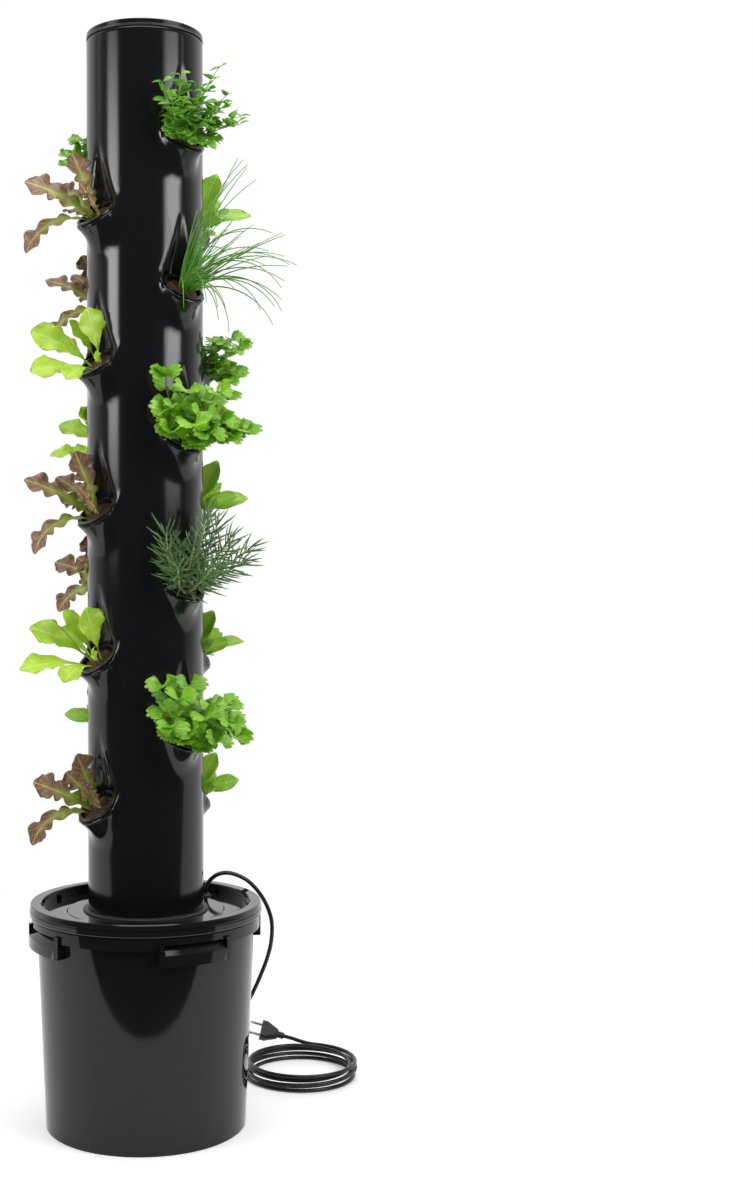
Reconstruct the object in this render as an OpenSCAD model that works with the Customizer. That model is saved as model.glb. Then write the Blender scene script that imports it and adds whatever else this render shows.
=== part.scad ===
// Hydroponic planting tower: a pipe with heat-formed pockets stands in a lidded pail.
// A small pump in the pail lifts water through a hose to a drip pan under the pipe's cap,
// and a net cup with a plant hangs in every pocket. The mains lead lies coiled beside it.
// Origin: centre of the pail's foot on the floor, +Z up, -Y towards the viewer.

/* [Pail] */
// Height of the pail to the top of its rim
pail_h = 305; // [290:1:330]
// Outside radius of the pail at its foot
foot_r = 139; // [134:0.5:143]
// Outside radius of the pail's neck under the rim
neck_r = 150.5; // [148:0.5:153]
// Thickness of the pail's wall
pail_wall = 2.5; // [2:0.1:3.2]
// Height of the hollow under the pail's floor
foot_recess = 4; // [2:0.5:8]
// Thickness of the pail's floor
floor_t = 3; // [2:0.5:5]
// How far the rim's bead stands out from the neck
bead_out = 6.9; // [5:0.1:9]
// Height of the rim's bead
bead_h = 6; // [4:0.5:8]
// Height of the skirt round the neck
skirt_h = 17; // [12:0.5:22]
// Distance from the skirt's top to the rim's top
skirt_drop = 12; // [9:0.5:14]
// Number of hand grips round the skirt
grip_count = 4; // [2:1:4]
// Half the angle that a hand grip spans
grip_half_angle = 16; // [12:1:20]
// Direction of the first hand grip
grip_angle = 295; // [270:5:360]
// Height of a hand grip's strap
strap_h = 16; // [12:1:20]
// Finger room above the strap
grip_window = 12; // [9:1:14]

/* [Lid] */
// Wall thickness of the lid
lid_wall = 2.6; // [2:0.1:3.2]
// Radial clearance between the lid and the pail
lid_gap = 0.7; // [0.4:0.1:1.2]
// Height of the lid's rim over the pail's rim
lid_rise = 6; // [5:0.5:9]
// Thickness of the sealing ring under the lid's rim
seal_h = 3; // [2:0.5:4]
// Depth of the lid's panel under the top of its rim
panel_depth = 13; // [10:0.5:14.5]
// Thickness of the lid's panel
panel_t = 2.5; // [2:0.1:3.5]
// Radius of the raised middle of the panel
panel_step_r = 108; // [96:1:112]
// Height of the raised middle of the panel
panel_step_h = 1.2; // [0.6:0.1:2]
// Number of stacking lugs inside the lid's rim
lug_count = 8; // [4:1:12]
// Wall of the rubber sleeve round the pipe
pipe_seal_wall = 2.5; // [2:0.1:4]

/* [Tower] */
// Outside radius of the pipe
pipe_r = 80; // [77:0.5:82]
// Wall thickness of the pipe
pipe_wall = 4; // [3:0.1:5]
// Length of the pipe from the pail's floor
pipe_len = 1488; // [1460:1:1560]
// Width of the water arches in the foot of the pipe
arch_w = 40; // [30:1:50]
// Height of the water arches
arch_h = 50; // [45:1:60]
// Thickness of the cap on the pipe
cap_h = 6; // [4:0.5:12]
// Depth of the drip pan under the cap
pan_depth = 18; // [14:1:24]

/* [Pockets] */
// Number of pockets in a column
rows = 5; // [3:1:5]
// Height of the pipe's top over the highest mouth
top_margin = 145; // [135:1:160]
// Height of the lowest mouth over the lid
low_margin = 139; // [125:1:155]
// Direction of the front right column
column_angle = 308; // [300:1:320]
// Distance of a mouth's centre from the pipe's surface
mouth_out = 3; // [2:0.5:5]
// Lean of a mouth's axis from the vertical
mouth_lean = 40; // [36:1:44]
// Height of the dent over a mouth's centre
dent_h = 85; // [75:1:95]
// Wall thickness of the formed lip and dent
lip_wall = 4; // [3:0.1:4.5]
// Length of the formed lip along the mouth's axis
lip_len = 60; // [56:1:64]

/* [Net cups] */
// Radius of a cup's flange
cup_flange_r = 29; // [28.5:0.1:30]
// Radius of a cup's body under the flange
cup_r = 26.5; // [25.5:0.1:26.8]
// Radius of a cup's bottom
cup_foot_r = 18; // [16:0.5:18.5]
// Length of a cup's body
cup_len = 51; // [44:1:52]
// Wall thickness of a cup
cup_wall = 1.5; // [1.2:0.1:2]
// Number of slots round a cup
cup_slots = 8; // [6:2:12]
// Width of a slot
slot_w = 5; // [3:0.5:6]
// Running clearance of a cup in its pocket
cup_gap = 0.7; // [0.5:0.1:0.9]

/* [Pump and hose] */
// Width of the pump
pump_w = 40; // [36:1:46]
// Length of the pump's motor housing
pump_len = 48; // [42:1:54]
// Length of the intake strainer
strainer_len = 20; // [16:1:24]
// Height of the pump over its feet
pump_h = 42; // [38:1:46]
// Height of the suction feet
pump_foot_h = 8; // [6:0.5:10]
// Radius of the outlet nozzle
nozzle_r = 6.7; // [6:0.1:7.2]
// Length of the outlet nozzle
nozzle_len = 25; // [18:1:32]
// Outside radius of the riser hose
hose_r = 9.5; // [9:0.1:11]
// Clearance between the hose and its spigots
hose_gap = 0.3; // [0.2:0.05:0.4]
// Radius of the impeller
impeller_r = 12; // [10:0.5:13]
// Number of impeller blades
blades = 6; // [4:1:8]
// Radius of the impeller's shaft
shaft_r = 1.5; // [1.2:0.1:2]
// Radius of the flow knob
knob_r = 8; // [6:0.5:10]

/* [Lead and plug] */
// Radius of the mains lead
lead_r = 3; // [2.6:0.1:3]
// Largest radius of the coil
coil_r = 84; // [83:0.5:85]
// How far the coil spirals in and out
coil_spread = 10; // [9.5:0.5:12]
// Height from one layer of the coil to the next
coil_step = 6.6; // [6.5:0.1:7]
// Length of the plug's body
plug_len = 27; // [24:1:30]
// Width of the plug's face
plug_w = 31; // [30:0.5:34]
// Thickness of the plug's body
plug_t = 16; // [14:0.5:18]
// Length of the plug's pins
pin_len = 19; // [17:1:20]
// Radius of the plug's pins
pin_r = 2.4; // [2:0.1:2.5]
// Distance between the plug's pins
pin_gap = 19; // [18:0.5:19.5]

/* [Plants] */
// Length of a grown leaf
leaf_len = 100; // [80:1:105]
// Thickness of a leaf along its midrib
leaf_t = 1.6; // [1.2:0.1:2.4]

/* [Hidden] */
$fn = 96;
columns = ["a", "b", "c", "d"];
column_step = 90;
function cup_name(c, r) = str("cup_", columns[c], r + 1);
function plant_name(c, r) = str("plant_", columns[c], r + 1);

// Pail
floor_z = foot_recess + floor_t;
flange_z = pail_h - skirt_drop;
skirt_z = flange_z - skirt_h;
skirt_t = pail_wall;
bead_r = neck_r + bead_out;
skirt_r = bead_r + lid_gap;
foot_ring = 5;
strap_t = 2.5;
window_rise = 7;
strap_top_z = skirt_z + window_rise - grip_window;
strap_notch = 0.5;
window_play = 0.5;
strap_out = 4;
cheek_angle = 3;

// Lid
lid_in_r = bead_r + lid_gap;
lid_out_r = lid_in_r + lid_wall;
lid_top = pail_h + lid_rise;
lid_low = flange_z + 1;
plug_out_r = neck_r - pail_wall - lid_gap;
plug_in_r = plug_out_r - lid_wall;
panel_top = lid_top - panel_depth;
panel_low = panel_top - panel_t;
edge = 1.2;
lug_h = 6;
lug_deep = 4;
lug_angle = 14;
seal_in_r = neck_r + 0.5;
seal_out_r = bead_r - 1;

// Rubber sleeve and grommet
seal_gap = 0.3;
pipe_hole_r = pipe_r + seal_gap + pipe_seal_wall + 0.2;
lead_at = [86, 82];
lead_gap = 0.3;
grommet_r = lead_r + lead_gap + 2.5;
grommet_hole_r = grommet_r + 0.2;

// Tower
bore_r = pipe_r - pipe_wall;
pipe_top = floor_z + pipe_len;
pan_wall = 3;
pan_r = bore_r - 0.6;
pan_floor_z = pipe_top - pan_depth;
pan_rim_t = 3;
cap_gap = 0.6;
hose_low = floor_z + pump_foot_h + pump_h;
hose_top = pan_floor_z - 4;
hose_bore_r = nozzle_r + hose_gap;
spigot_len = 22;
water_r = nozzle_r - 2;

// Pockets
first_mouth_z = lid_top + low_margin;
row_pitch = (pipe_top - top_margin - first_mouth_z) / (rows - 0.5);
mouth_rho = pipe_r + mouth_out;
passage_r = cup_r + cup_gap + 0.1;
passage_foot_r = passage_r - 7.3;
lip_r = passage_r + lip_wall;
lip_foot_r = passage_foot_r + lip_wall;
sleeve_r = cup_flange_r + cup_gap;
dent_r = sleeve_r + 0.4;
dent_shell_h = dent_h * (dent_r + lip_wall) / dent_r;
big = 400;
cup_flange_t = 2;
fibre_drop = 3;

// Pump
pump_x = pump_len - 12;
front_x = pump_x - pump_len;
pump_low = floor_z + pump_foot_h;
motor_z = pump_low + pump_h / 2;
chamber_r = impeller_r + 2;
chamber_len = 14;
shaft_gap = 0.06;
knob_pin_r = 2.5;
strainer_wall = 2;

/* Points of the lead inside the pail, from the pump to the lid. */
inner_route = [
    [36, 0, 36], [44, 0, 36], [56, 0, 34], [70, 0, 31], [84, 2, 30], [97, 8, 34], [106, 20, 46],
    [109, 36, 66], [106, 52, 95], [100, 66, 130], [93, 75, 170], [88, 80, 210], [86, 82, 250],
    [86, 82, 280], [86, 82, 300]
];

/* Points of the lead outside, over the lid's rim and down behind the pail to the coil. */
free_route = [
    [86, 82, 300], [86, 82, 305], [88, 82, 314], [94, 83, 322], [103, 85, 328], [114, 88, 330],
    [126, 91, 328], [138, 93, 323], [149, 94, 316], [160, 95, 305], [170, 96, 291], [178, 97, 275],
    [183, 98, 258], [184, 99, 240], [182, 101, 220], [177, 103, 200], [170, 106, 180], [161, 109, 158],
    [151, 112, 137], [138, 117, 114], [126, 123, 93], [115, 130, 70], [106, 139, 48], [100, 149, 29],
    [97, 159, 15], [95, 168, 7.5], [95, 177, 4], [95, 185, 3.2], [97, 196, 3.2], [103, 205, 3.2],
    [112, 211, 3.2], [123, 213, 3.2], [134, 211, 3.2], [143, 205, 3.2], [149, 196, 3.2], [151, 185, 3.2]
];

// Coil
coil_from = free_route[len(free_route) - 1];
coil_at = [coil_from[0] + coil_r, coil_from[1]];
coil_z = coil_from[2];
coil_layers = 4;
coil_start = 180;
coil_sweep = 1690;
coil_layer_sweep = coil_sweep / coil_layers;
coil_rings = 24;
/* Points of the lead from the top of the coil to the plug. */
tail_rise = [[-9, 2.6, 1], [-18, 4.6, 3], [-27, 6.2, 5.6], [-35, 7.4, 8.2], [-41, 8, 9.8]];
plug_roll = 50;
plug_neck_len = 11;
plug_swell_len = 0.7 * plug_len;
pin_seat = 8;

// A solid ring sector with a rectangular section
module ring_arc(r1, r2, z1, z2, a1, a2) {
    rotate([0, 0, a1])
        rotate_extrude(angle = a2 - a1)
            translate([r1, z1])
                square([r2 - r1, z2 - z1]);
}

// Places its children at a pocket's mouth with +X pointing outward and +Z up
module at_mouth(c, r) {
    rotate([0, 0, column_angle - c * column_step])
        translate([mouth_rho, 0, mouth_z(c, r)])
            children();
}

// The same with +Z along the mouth's own axis
module on_mouth_axis(c, r) {
    at_mouth(c, r)
        rotate([0, mouth_lean, 0])
            children();
}

function mouth_z(c, r) = first_mouth_z + (rows - 1 - r + (c % 2 == 0 ? 0.5 : 0)) * row_pitch;

// Unit vector along v
function unit(v) = v / norm(v);

// Points of a Catmull-Rom curve through a route, with steps pieces to a stretch
function smooth(p, steps) =
    let (n = len(p) - 1)
    concat(
        [for (i = [0 : n - 1]) for (k = [0 : steps - 1])
            let (t = k / steps)
            let (a = p[max(i - 1, 0)], b = p[i], c = p[i + 1], d = p[min(i + 2, n)])
            0.5 * (2 * b + (c - a) * t + (2 * a - 5 * b + 4 * c - d) * t * t
                + (3 * b - a - 3 * c + d) * t * t * t)],
        [p[n]]
    );

// Direction of a path at its point i
function heading(p, i) = unit(p[min(i + 1, len(p) - 1)] - p[max(i - 1, 0)]);

// Sideways vectors carried along a path without twist
function carried(p, i = 0, side = [0, 0, 0]) =
    i == len(p) ? [] :
    let (h = heading(p, i))
    let (first = abs(h[2]) < 0.9 ? [0, 0, 1] : [1, 0, 0])
    let (old = i == 0 ? first : side)
    let (s = unit(old - h * (old * h)))
    concat([s], carried(p, i + 1, s));

// Triangles that close a tube of n rings of m points
function tube_faces(n, m) = concat(
    [for (i = [0 : n - 2]) for (k = [0 : m - 1]) [i * m + k, i * m + (k + 1) % m, (i + 1) * m + k]],
    [for (i = [0 : n - 2]) for (k = [0 : m - 1])
        [i * m + (k + 1) % m, (i + 1) * m + (k + 1) % m, (i + 1) * m + k]],
    [for (k = [1 : m - 2]) [0, k + 1, k]],
    [for (k = [1 : m - 2]) [(n - 1) * m, (n - 1) * m + k, (n - 1) * m + k + 1]]
);

// A closed tube along a path
module tube(path, radius, sides) {
    across = carried(path);
    rings = [for (i = [0 : len(path) - 1])
        let (h = heading(path, i), u = across[i], v = cross(h, u))
        for (k = [0 : sides - 1])
            path[i] + radius * (cos(360 * k / sides) * u + sin(360 * k / sides) * v)];
    polyhedron(points = rings, faces = tube_faces(len(path), sides));
}

// Height of the coil's path in layers: flat, with a climb in the half turn about each reversal
function coil_climb(a) =
    let (k = floor(a / coil_layer_sweep + 0.5))
    let (from_turn = a - k * coil_layer_sweep)
    k <= 0 ? 0 : k >= coil_layers ? coil_layers - 1 :
    k - 1 + min(max(from_turn / 180 + 0.5, 0), 1);

// Radius of the coil's path: steadily in, then steadily out, layer by layer
function coil_radius(a) =
    let (part = a / coil_layer_sweep, k = min(floor(part), coil_layers - 1))
    let (share = part - k)
    coil_r - coil_spread * (k % 2 == 0 ? share : 1 - share);

function coil_point(a) = [
    coil_at[0] + coil_radius(a) * cos(coil_start + a),
    coil_at[1] + coil_radius(a) * sin(coil_start + a),
    coil_z + coil_step * coil_climb(a)
];

coil_turns = [for (i = [0 : floor(coil_sweep * coil_rings / 360)]) coil_point(i * 360 / coil_rings)];
coil_end = coil_point(coil_sweep);
coil_tail = [for (p = tail_rise) coil_end + p];
plug_dir = unit(coil_tail[4] - coil_tail[3]);
coil_path = concat(
    [coil_turns[0], coil_turns[0] - [0, 2 * lead_r, 0]],
    [for (i = [1 : len(coil_turns) - 1]) coil_turns[i]],
    [coil_end],
    coil_tail,
    [coil_tail[4] + 2 * lead_r * plug_dir]
);
plug_at = coil_path[len(coil_path) - 1];

// Least gap of the coil to itself, between points over half a turn apart
coil_gap = min([for (i = [0 : len(coil_turns) - 13]) for (k = [i + 12 : len(coil_turns) - 1])
    norm(coil_turns[i] - coil_turns[k])]) - 2 * lead_r;
echo(least_gap_of_the_coil_to_itself = coil_gap);

module bucket() {
    color([0.02, 0.02, 0.022])
    difference() {
        union() {
            rotate_extrude()
                polygon([
                    [0, foot_recess], [foot_r - foot_ring - 2, foot_recess], [foot_r - foot_ring, 0],
                    [foot_r - edge, 0], [foot_r, edge], [neck_r, skirt_z],
                    [neck_r, flange_z - pail_wall], [skirt_r - skirt_t, flange_z - pail_wall],
                    [skirt_r - skirt_t, skirt_z], [skirt_r, skirt_z], [skirt_r, flange_z - edge],
                    [skirt_r - edge, flange_z], [neck_r, flange_z], [neck_r, pail_h - bead_h],
                    [bead_r - edge, pail_h - bead_h], [bead_r, pail_h - bead_h + edge],
                    [bead_r, pail_h - edge], [bead_r - edge, pail_h], [neck_r - pail_wall, pail_h],
                    [neck_r - pail_wall, skirt_z], [foot_r - pail_wall, floor_z], [0, floor_z]
                ]);
            grips();
        }
        for (i = [0 : grip_count - 1])
            ring_arc(skirt_r - skirt_t - 2, skirt_r + strap_out + 1, strap_top_z - strap_notch,
                skirt_z + window_rise, grip_turn(i) - grip_half_angle - window_play,
                grip_turn(i) + grip_half_angle + window_play);
    }
}

function grip_turn(i) = grip_angle + i * 360 / grip_count;

// Straps of the hand grips, held by a cheek at each end that runs into the pail's wall
module grips() {
    strap_r = skirt_r + strap_out;
    reach = grip_half_angle + cheek_angle;
    for (i = [0 : grip_count - 1]) {
        ring_arc(strap_r - strap_t, strap_r, strap_top_z - strap_h, strap_top_z,
            grip_turn(i) - reach, grip_turn(i) + reach);
        for (side = [-1, 1])
            ring_arc(neck_r - pail_wall / 2, strap_r, strap_top_z - strap_h,
                skirt_z + window_rise + strap_t,
                grip_turn(i) + min(side * grip_half_angle, side * reach),
                grip_turn(i) + max(side * grip_half_angle, side * reach));
    }
}

module lid() {
    color([0.02, 0.02, 0.022])
    difference() {
        union() {
            rotate_extrude()
                polygon([
                    [pipe_hole_r, panel_low], [plug_out_r, panel_low], [plug_out_r, pail_h + seal_h],
                    [lid_in_r, pail_h + seal_h], [lid_in_r, lid_low], [lid_out_r - edge / 2, lid_low],
                    [lid_out_r, lid_low + edge], [lid_out_r, lid_top - 9.5],
                    [lid_out_r - edge, lid_top - 8.7], [lid_out_r - edge, lid_top - 7.7],
                    [lid_out_r, lid_top - 6.9], [lid_out_r - 1, lid_top - edge],
                    [lid_out_r - 1 - edge, lid_top],
                    [plug_in_r + edge, lid_top], [plug_in_r, lid_top - edge], [plug_in_r, panel_top],
                    [panel_step_r + 1.5, panel_top], [panel_step_r, panel_top + panel_step_h],
                    [pipe_hole_r, panel_top + panel_step_h]
                ]);
            for (i = [0 : lug_count - 1])
                ring_arc(plug_in_r - lug_deep, plug_in_r + lid_wall / 2, panel_top - panel_t / 2,
                    panel_top + lug_h, i * 360 / lug_count, i * 360 / lug_count + lug_angle);
        }
        translate([lead_at[0], lead_at[1], panel_low - 1])
            cylinder(r = grommet_hole_r, h = panel_t + 2);
    }
}

module lid_seal() {
    color([0.08, 0.08, 0.08])
    rotate_extrude()
        translate([seal_in_r, pail_h])
            square([seal_out_r - seal_in_r, seal_h]);
}

// Rubber sleeve round the pipe, with a groove that holds the edge of the lid's hole
module pipe_seal() {
    in_r = pipe_r + seal_gap;
    groove_r = in_r + pipe_seal_wall;
    top = panel_top + panel_step_h;
    color([0.03, 0.03, 0.03])
    rotate_extrude()
        polygon([
            [in_r, panel_low - 4], [groove_r + 2, panel_low - 4], [groove_r + 3.2, panel_low - 2.8],
            [groove_r + 3.2, panel_low], [groove_r, panel_low], [groove_r, top],
            [groove_r + 4.2, top], [groove_r + 4.2, top + 1.5], [groove_r + 2.5, top + 3.2],
            [in_r, top + 3.2]
        ]);
}

module cord_grommet() {
    in_r = lead_r + lead_gap;
    color([0.03, 0.03, 0.03])
    translate([lead_at[0], lead_at[1], 0])
        rotate_extrude()
            polygon([
                [in_r, panel_low - 3], [grommet_r + 2, panel_low - 3], [grommet_r + 2, panel_low],
                [grommet_r, panel_low], [grommet_r, panel_top], [grommet_r + 3, panel_top],
                [grommet_r + 3, panel_top + 1], [grommet_r, panel_top + 4], [in_r, panel_top + 4]
            ]);
}

// The pipe: lips swell out under the mouths and dents press in over them
module tower_tube() {
    color([0.015, 0.015, 0.018])
    difference() {
        union() {
            difference() {
                union() {
                    translate([0, 0, floor_z])
                        cylinder(r = pipe_r, h = pipe_len);
                    for (c = [0 : 3], r = [0 : rows - 1])
                        on_mouth_axis(c, r)
                            translate([0, 0, -lip_len])
                                cylinder(r1 = lip_foot_r, r2 = lip_r, h = lip_len);
                }
                translate([0, 0, floor_z - 1])
                    cylinder(r = bore_r, h = pipe_len + 2);
            }
            for (c = [0 : 3], r = [0 : rows - 1])
                dent_shell(c, r);
        }
        for (c = [0 : 3], r = [0 : rows - 1])
            mouth_space(c, r);
        arches();
    }
}

// Wall of the dent, inside the pipe and over the mouth's plane
module dent_shell(c, r) {
    intersection() {
        at_mouth(c, r)
            cylinder(r1 = dent_r + lip_wall, r2 = 0, h = dent_shell_h);
        translate([0, 0, floor_z])
            cylinder(r = pipe_r - pipe_wall / 2, h = pipe_len);
        on_mouth_axis(c, r)
            translate([-big / 2, -big / 2, 0])
                cube(big);
    }
}

// Air in the dent, and the way that a net cup slides in
module mouth_space(c, r) {
    intersection() {
        at_mouth(c, r)
            cylinder(r1 = dent_r, r2 = 0, h = dent_h);
        on_mouth_axis(c, r)
            translate([-big / 2, -big / 2, 0])
                cube(big);
    }
    on_mouth_axis(c, r) {
        cylinder(r = sleeve_r, h = dent_h);
        translate([0, 0, -lip_len - 1])
            cylinder(r1 = passage_foot_r, r2 = passage_r, h = lip_len + 1.01);
    }
}

// Arches in the pipe's foot for the water and the lead
module arches() {
    straight = arch_h - arch_w / 2;
    for (a = [0, 90])
        rotate([0, 0, a]) {
            translate([-pipe_r - 5, -arch_w / 2, floor_z - 1])
                cube([2 * pipe_r + 10, arch_w, straight + 1]);
            translate([-pipe_r - 5, 0, floor_z + straight])
                rotate([0, 90, 0])
                    cylinder(d = arch_w, h = 2 * pipe_r + 10);
        }
}

// Drip pan that hangs in the pipe's end, with a spigot for the hose and a ring of drip holes
module distributor() {
    drip_holes = 12;
    drip_r = 2;
    color([0.05, 0.05, 0.05])
    difference() {
        union() {
            rotate_extrude()
                polygon([
                    [0, pan_floor_z], [pan_r, pan_floor_z], [pan_r, pipe_top], [pipe_r, pipe_top],
                    [pipe_r, pipe_top + pan_rim_t], [pan_r - pan_wall, pipe_top + pan_rim_t],
                    [pan_r - pan_wall, pan_floor_z + pan_wall], [0, pan_floor_z + pan_wall]
                ]);
            translate([0, 0, pan_floor_z - spigot_len])
                cylinder(r = nozzle_r, h = spigot_len + 1);
        }
        translate([0, 0, pan_floor_z - spigot_len - 1])
            cylinder(r = water_r, h = spigot_len + pan_wall + 2);
        for (i = [0 : drip_holes - 1], ring = [0.5, 0.8])
            rotate([0, 0, (i + ring) * 360 / drip_holes])
                translate([ring * pan_r, 0, pan_floor_z - 1])
                    cylinder(r = drip_r, h = pan_wall + 2, $fn = 24);
    }
}

module top_cap() {
    z = pipe_top + pan_rim_t;
    ring_r = pan_r - pan_wall - cap_gap;
    color([0.02, 0.02, 0.022])
    rotate_extrude()
        polygon([
            [0, z], [ring_r - 3, z], [ring_r - 3, z - pan_depth / 2], [ring_r, z - pan_depth / 2],
            [ring_r, z], [pipe_r, z], [pipe_r, z + cap_h - edge], [pipe_r - edge, z + cap_h],
            [0, z + cap_h]
        ]);
}

module riser_hose() {
    color([0.3, 0.3, 0.32])
    difference() {
        translate([0, 0, hose_low])
            cylinder(r = hose_r, h = hose_top - hose_low);
        translate([0, 0, hose_low - 1])
            cylinder(r = hose_bore_r, h = hose_top - hose_low + 2);
    }
}

// A box along X with rounded long edges
module rounded_bar(x1, x2, w, h, r) {
    translate([x1, 0, 0])
        rotate([90, 0, 90])
            linear_extrude(x2 - x1) {
                translate([-w / 2 + r, 0])
                    square([w - 2 * r, h]);
                translate([-w / 2, r])
                    square([w, h - 2 * r]);
                for (x = [-1, 1], y = [r, h - r])
                    translate([x * (w / 2 - r), y])
                        circle(r, $fn = 48);
            }
}

module pump_housing() {
    fins = 5;
    fin_pitch = 5;
    fin_t = 2;
    corner = 6;
    color([0.06, 0.06, 0.07])
    difference() {
        union() {
            translate([0, 0, pump_low])
                rounded_bar(front_x, pump_x, pump_w, pump_h, corner);
            translate([0, 0, motor_z])
                cylinder(r = nozzle_r, h = pump_h / 2 + nozzle_len);
            for (i = [0 : fins - 1])
                translate([pump_x - (i + 1.6) * fin_pitch, 0, pump_low])
                    rounded_bar(0, fin_t, pump_w + fin_t, pump_h - fin_t, corner);
        }
        translate([front_x - 1, 0, motor_z])
            rotate([0, 90, 0])
                cylinder(r = chamber_r, h = chamber_len + 1);
        translate([0, 0, motor_z])
            cylinder(r = water_r, h = pump_h + nozzle_len);
        translate([front_x, 0, motor_z])
            rotate([0, 90, 0])
                cylinder(r = shaft_r + shaft_gap, h = chamber_len + 8);
    }
}

// Strainer in front of the impeller, with slots and a boss for the shaft's end
module pump_strainer() {
    slots = 5;
    slot = 2.5;
    pitch = (pump_h - 10) / slots;
    back = front_x;
    nose = front_x - strainer_len;
    color([0.05, 0.05, 0.06])
    difference() {
        translate([0, 0, pump_low])
            rounded_bar(nose, back, pump_w, pump_h, 6);
        difference() {
            translate([0, 0, pump_low + strainer_wall])
                rounded_bar(nose + strainer_wall, back + 1, pump_w - 2 * strainer_wall,
                    pump_h - 2 * strainer_wall, 5);
            translate([nose, 0, motor_z])
                rotate([0, 90, 0])
                    cylinder(r = 5, h = strainer_len - chamber_len / 2);
        }
        translate([nose - 1, 0, motor_z])
            rotate([0, 90, 0])
                cylinder(r = knob_pin_r + shaft_gap, h = 6);
        translate([nose + 7, 0, motor_z])
            rotate([0, 90, 0])
                cylinder(r = shaft_r + shaft_gap, h = strainer_len);
        for (i = [0 : slots - 1])
            translate([nose + 5, -pump_w, pump_low + 6 + i * pitch])
                cube([strainer_len - 8, 2 * pump_w, slot]);
    }
}

module impeller_shaft() {
    nose = front_x - strainer_len;
    color([0.85, 0.85, 0.82])
    translate([nose + 7, 0, motor_z])
        rotate([0, 90, 0])
            cylinder(r = shaft_r, h = strainer_len + chamber_len, $fn = 48);
}

// Impeller with straight blades on a hub that runs on the shaft
module impeller() {
    blade_len = chamber_len - 4;
    hub_r = shaft_r + 2.5;
    color([0.8, 0.8, 0.78])
    translate([front_x + 2, 0, motor_z])
        rotate([0, 90, 0])
            difference() {
                union() {
                    cylinder(r = hub_r, h = blade_len);
                    for (i = [0 : blades - 1])
                        rotate([0, 0, i * 360 / blades])
                            translate([hub_r / 2, -0.8, 0])
                                cube([impeller_r - hub_r / 2, 1.6, blade_len]);
                }
                translate([0, 0, -1])
                    cylinder(r = shaft_r + shaft_gap, h = blade_len + 2, $fn = 48);
            }
}

// Knob that throttles the intake, turning on a pin in the strainer's nose
module flow_knob() {
    nose = front_x - strainer_len;
    color([0.3, 0.3, 0.32])
    translate([nose, 0, motor_z])
        rotate([0, -90, 0]) {
            translate([0, 0, 0.3])
                cylinder(r = knob_r, h = 3);
            translate([0, 0, -4])
                cylinder(r = knob_pin_r, h = 5, $fn = 48);
            translate([-1, -knob_r + 1, 2])
                cube([2, 2 * knob_r - 2, 3]);
        }
}

// Suction feet, each a cup on a short stem
module pump_feet() {
    inset = 9;
    color([0.1, 0.1, 0.1])
    for (x = [front_x + inset, pump_x - inset], y = [-1, 1])
        translate([x, y * (pump_w / 2 - inset), floor_z])
            rotate_extrude()
                polygon([
                    [0, 2], [5, 1], [7, 0], [8, 0], [6, 3], [3.5, 4.5], [3.5, pump_foot_h],
                    [0, pump_foot_h]
                ]);
}

module cord_inner() {
    color([0.03, 0.03, 0.03])
    tube(inner_route, lead_r, 8);
}

module cord_free() {
    color([0.03, 0.03, 0.03])
    tube(smooth(free_route, 2), lead_r, 8);
}

module cord_coil() {
    color([0.03, 0.03, 0.03])
    tube(coil_path, lead_r, 6);
}

// Places its children at the end of the lead, with +Z along the plug towards its pins
module at_plug() {
    turn = atan2(plug_dir[1], plug_dir[0]);
    lean = acos(plug_dir[2]);
    translate(plug_at)
        rotate([0, lean, turn])
            rotate([0, 0, plug_roll])
                children();
}

// Moulded plug: a ribbed neck that swells into a flat rounded body
module plug_body() {
    body_z = plug_neck_len;
    face_z = body_z + plug_len;
    color([0.03, 0.03, 0.03])
    at_plug()
        difference() {
            union() {
                rotate_extrude()
                    polygon([
                        [0, 0], [lead_r + 1, 0], [lead_r + 2.5, body_z], [lead_r + 2.5, body_z + 4],
                        [0, body_z + 4]
                    ]);
                for (i = [0 : 2])
                    translate([0, 0, 2 + i * 4])
                        cylinder(r1 = lead_r + 2.2, r2 = lead_r + 2.6, h = 2);
                intersection() {
                    translate([0, 0, body_z])
                        cylinder(r1 = plug_w / 4, r2 = plug_w / 2, h = plug_swell_len);
                    plug_slab(body_z, plug_swell_len);
                }
                intersection() {
                    translate([0, 0, body_z + plug_swell_len])
                        cylinder(r = plug_w / 2, h = plug_len - plug_swell_len);
                    plug_slab(body_z + plug_swell_len, plug_len - plug_swell_len);
                }
            }
            for (side = [-1, 1])
                translate([side * pin_gap / 2, 0, face_z - pin_seat])
                    cylinder(r = pin_r, h = pin_seat + 1);
        }
}

// The thickness of the plug's body between two flat sides
module plug_slab(z, h) {
    translate([-plug_w, -plug_t / 2, z])
        cube([2 * plug_w, plug_t, h]);
}

module plug_pins() {
    face_z = plug_neck_len + plug_len;
    color([0.75, 0.75, 0.75])
    at_plug()
        for (side = [-1, 1])
            translate([side * pin_gap / 2, 0, face_z - pin_seat])
                rotate_extrude($fn = 48)
                    polygon([
                        [0, 0], [pin_r, 0], [pin_r, pin_seat + pin_len - 1.5],
                        [pin_r - 1, pin_seat + pin_len], [0, pin_seat + pin_len]
                    ]);
}

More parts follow.
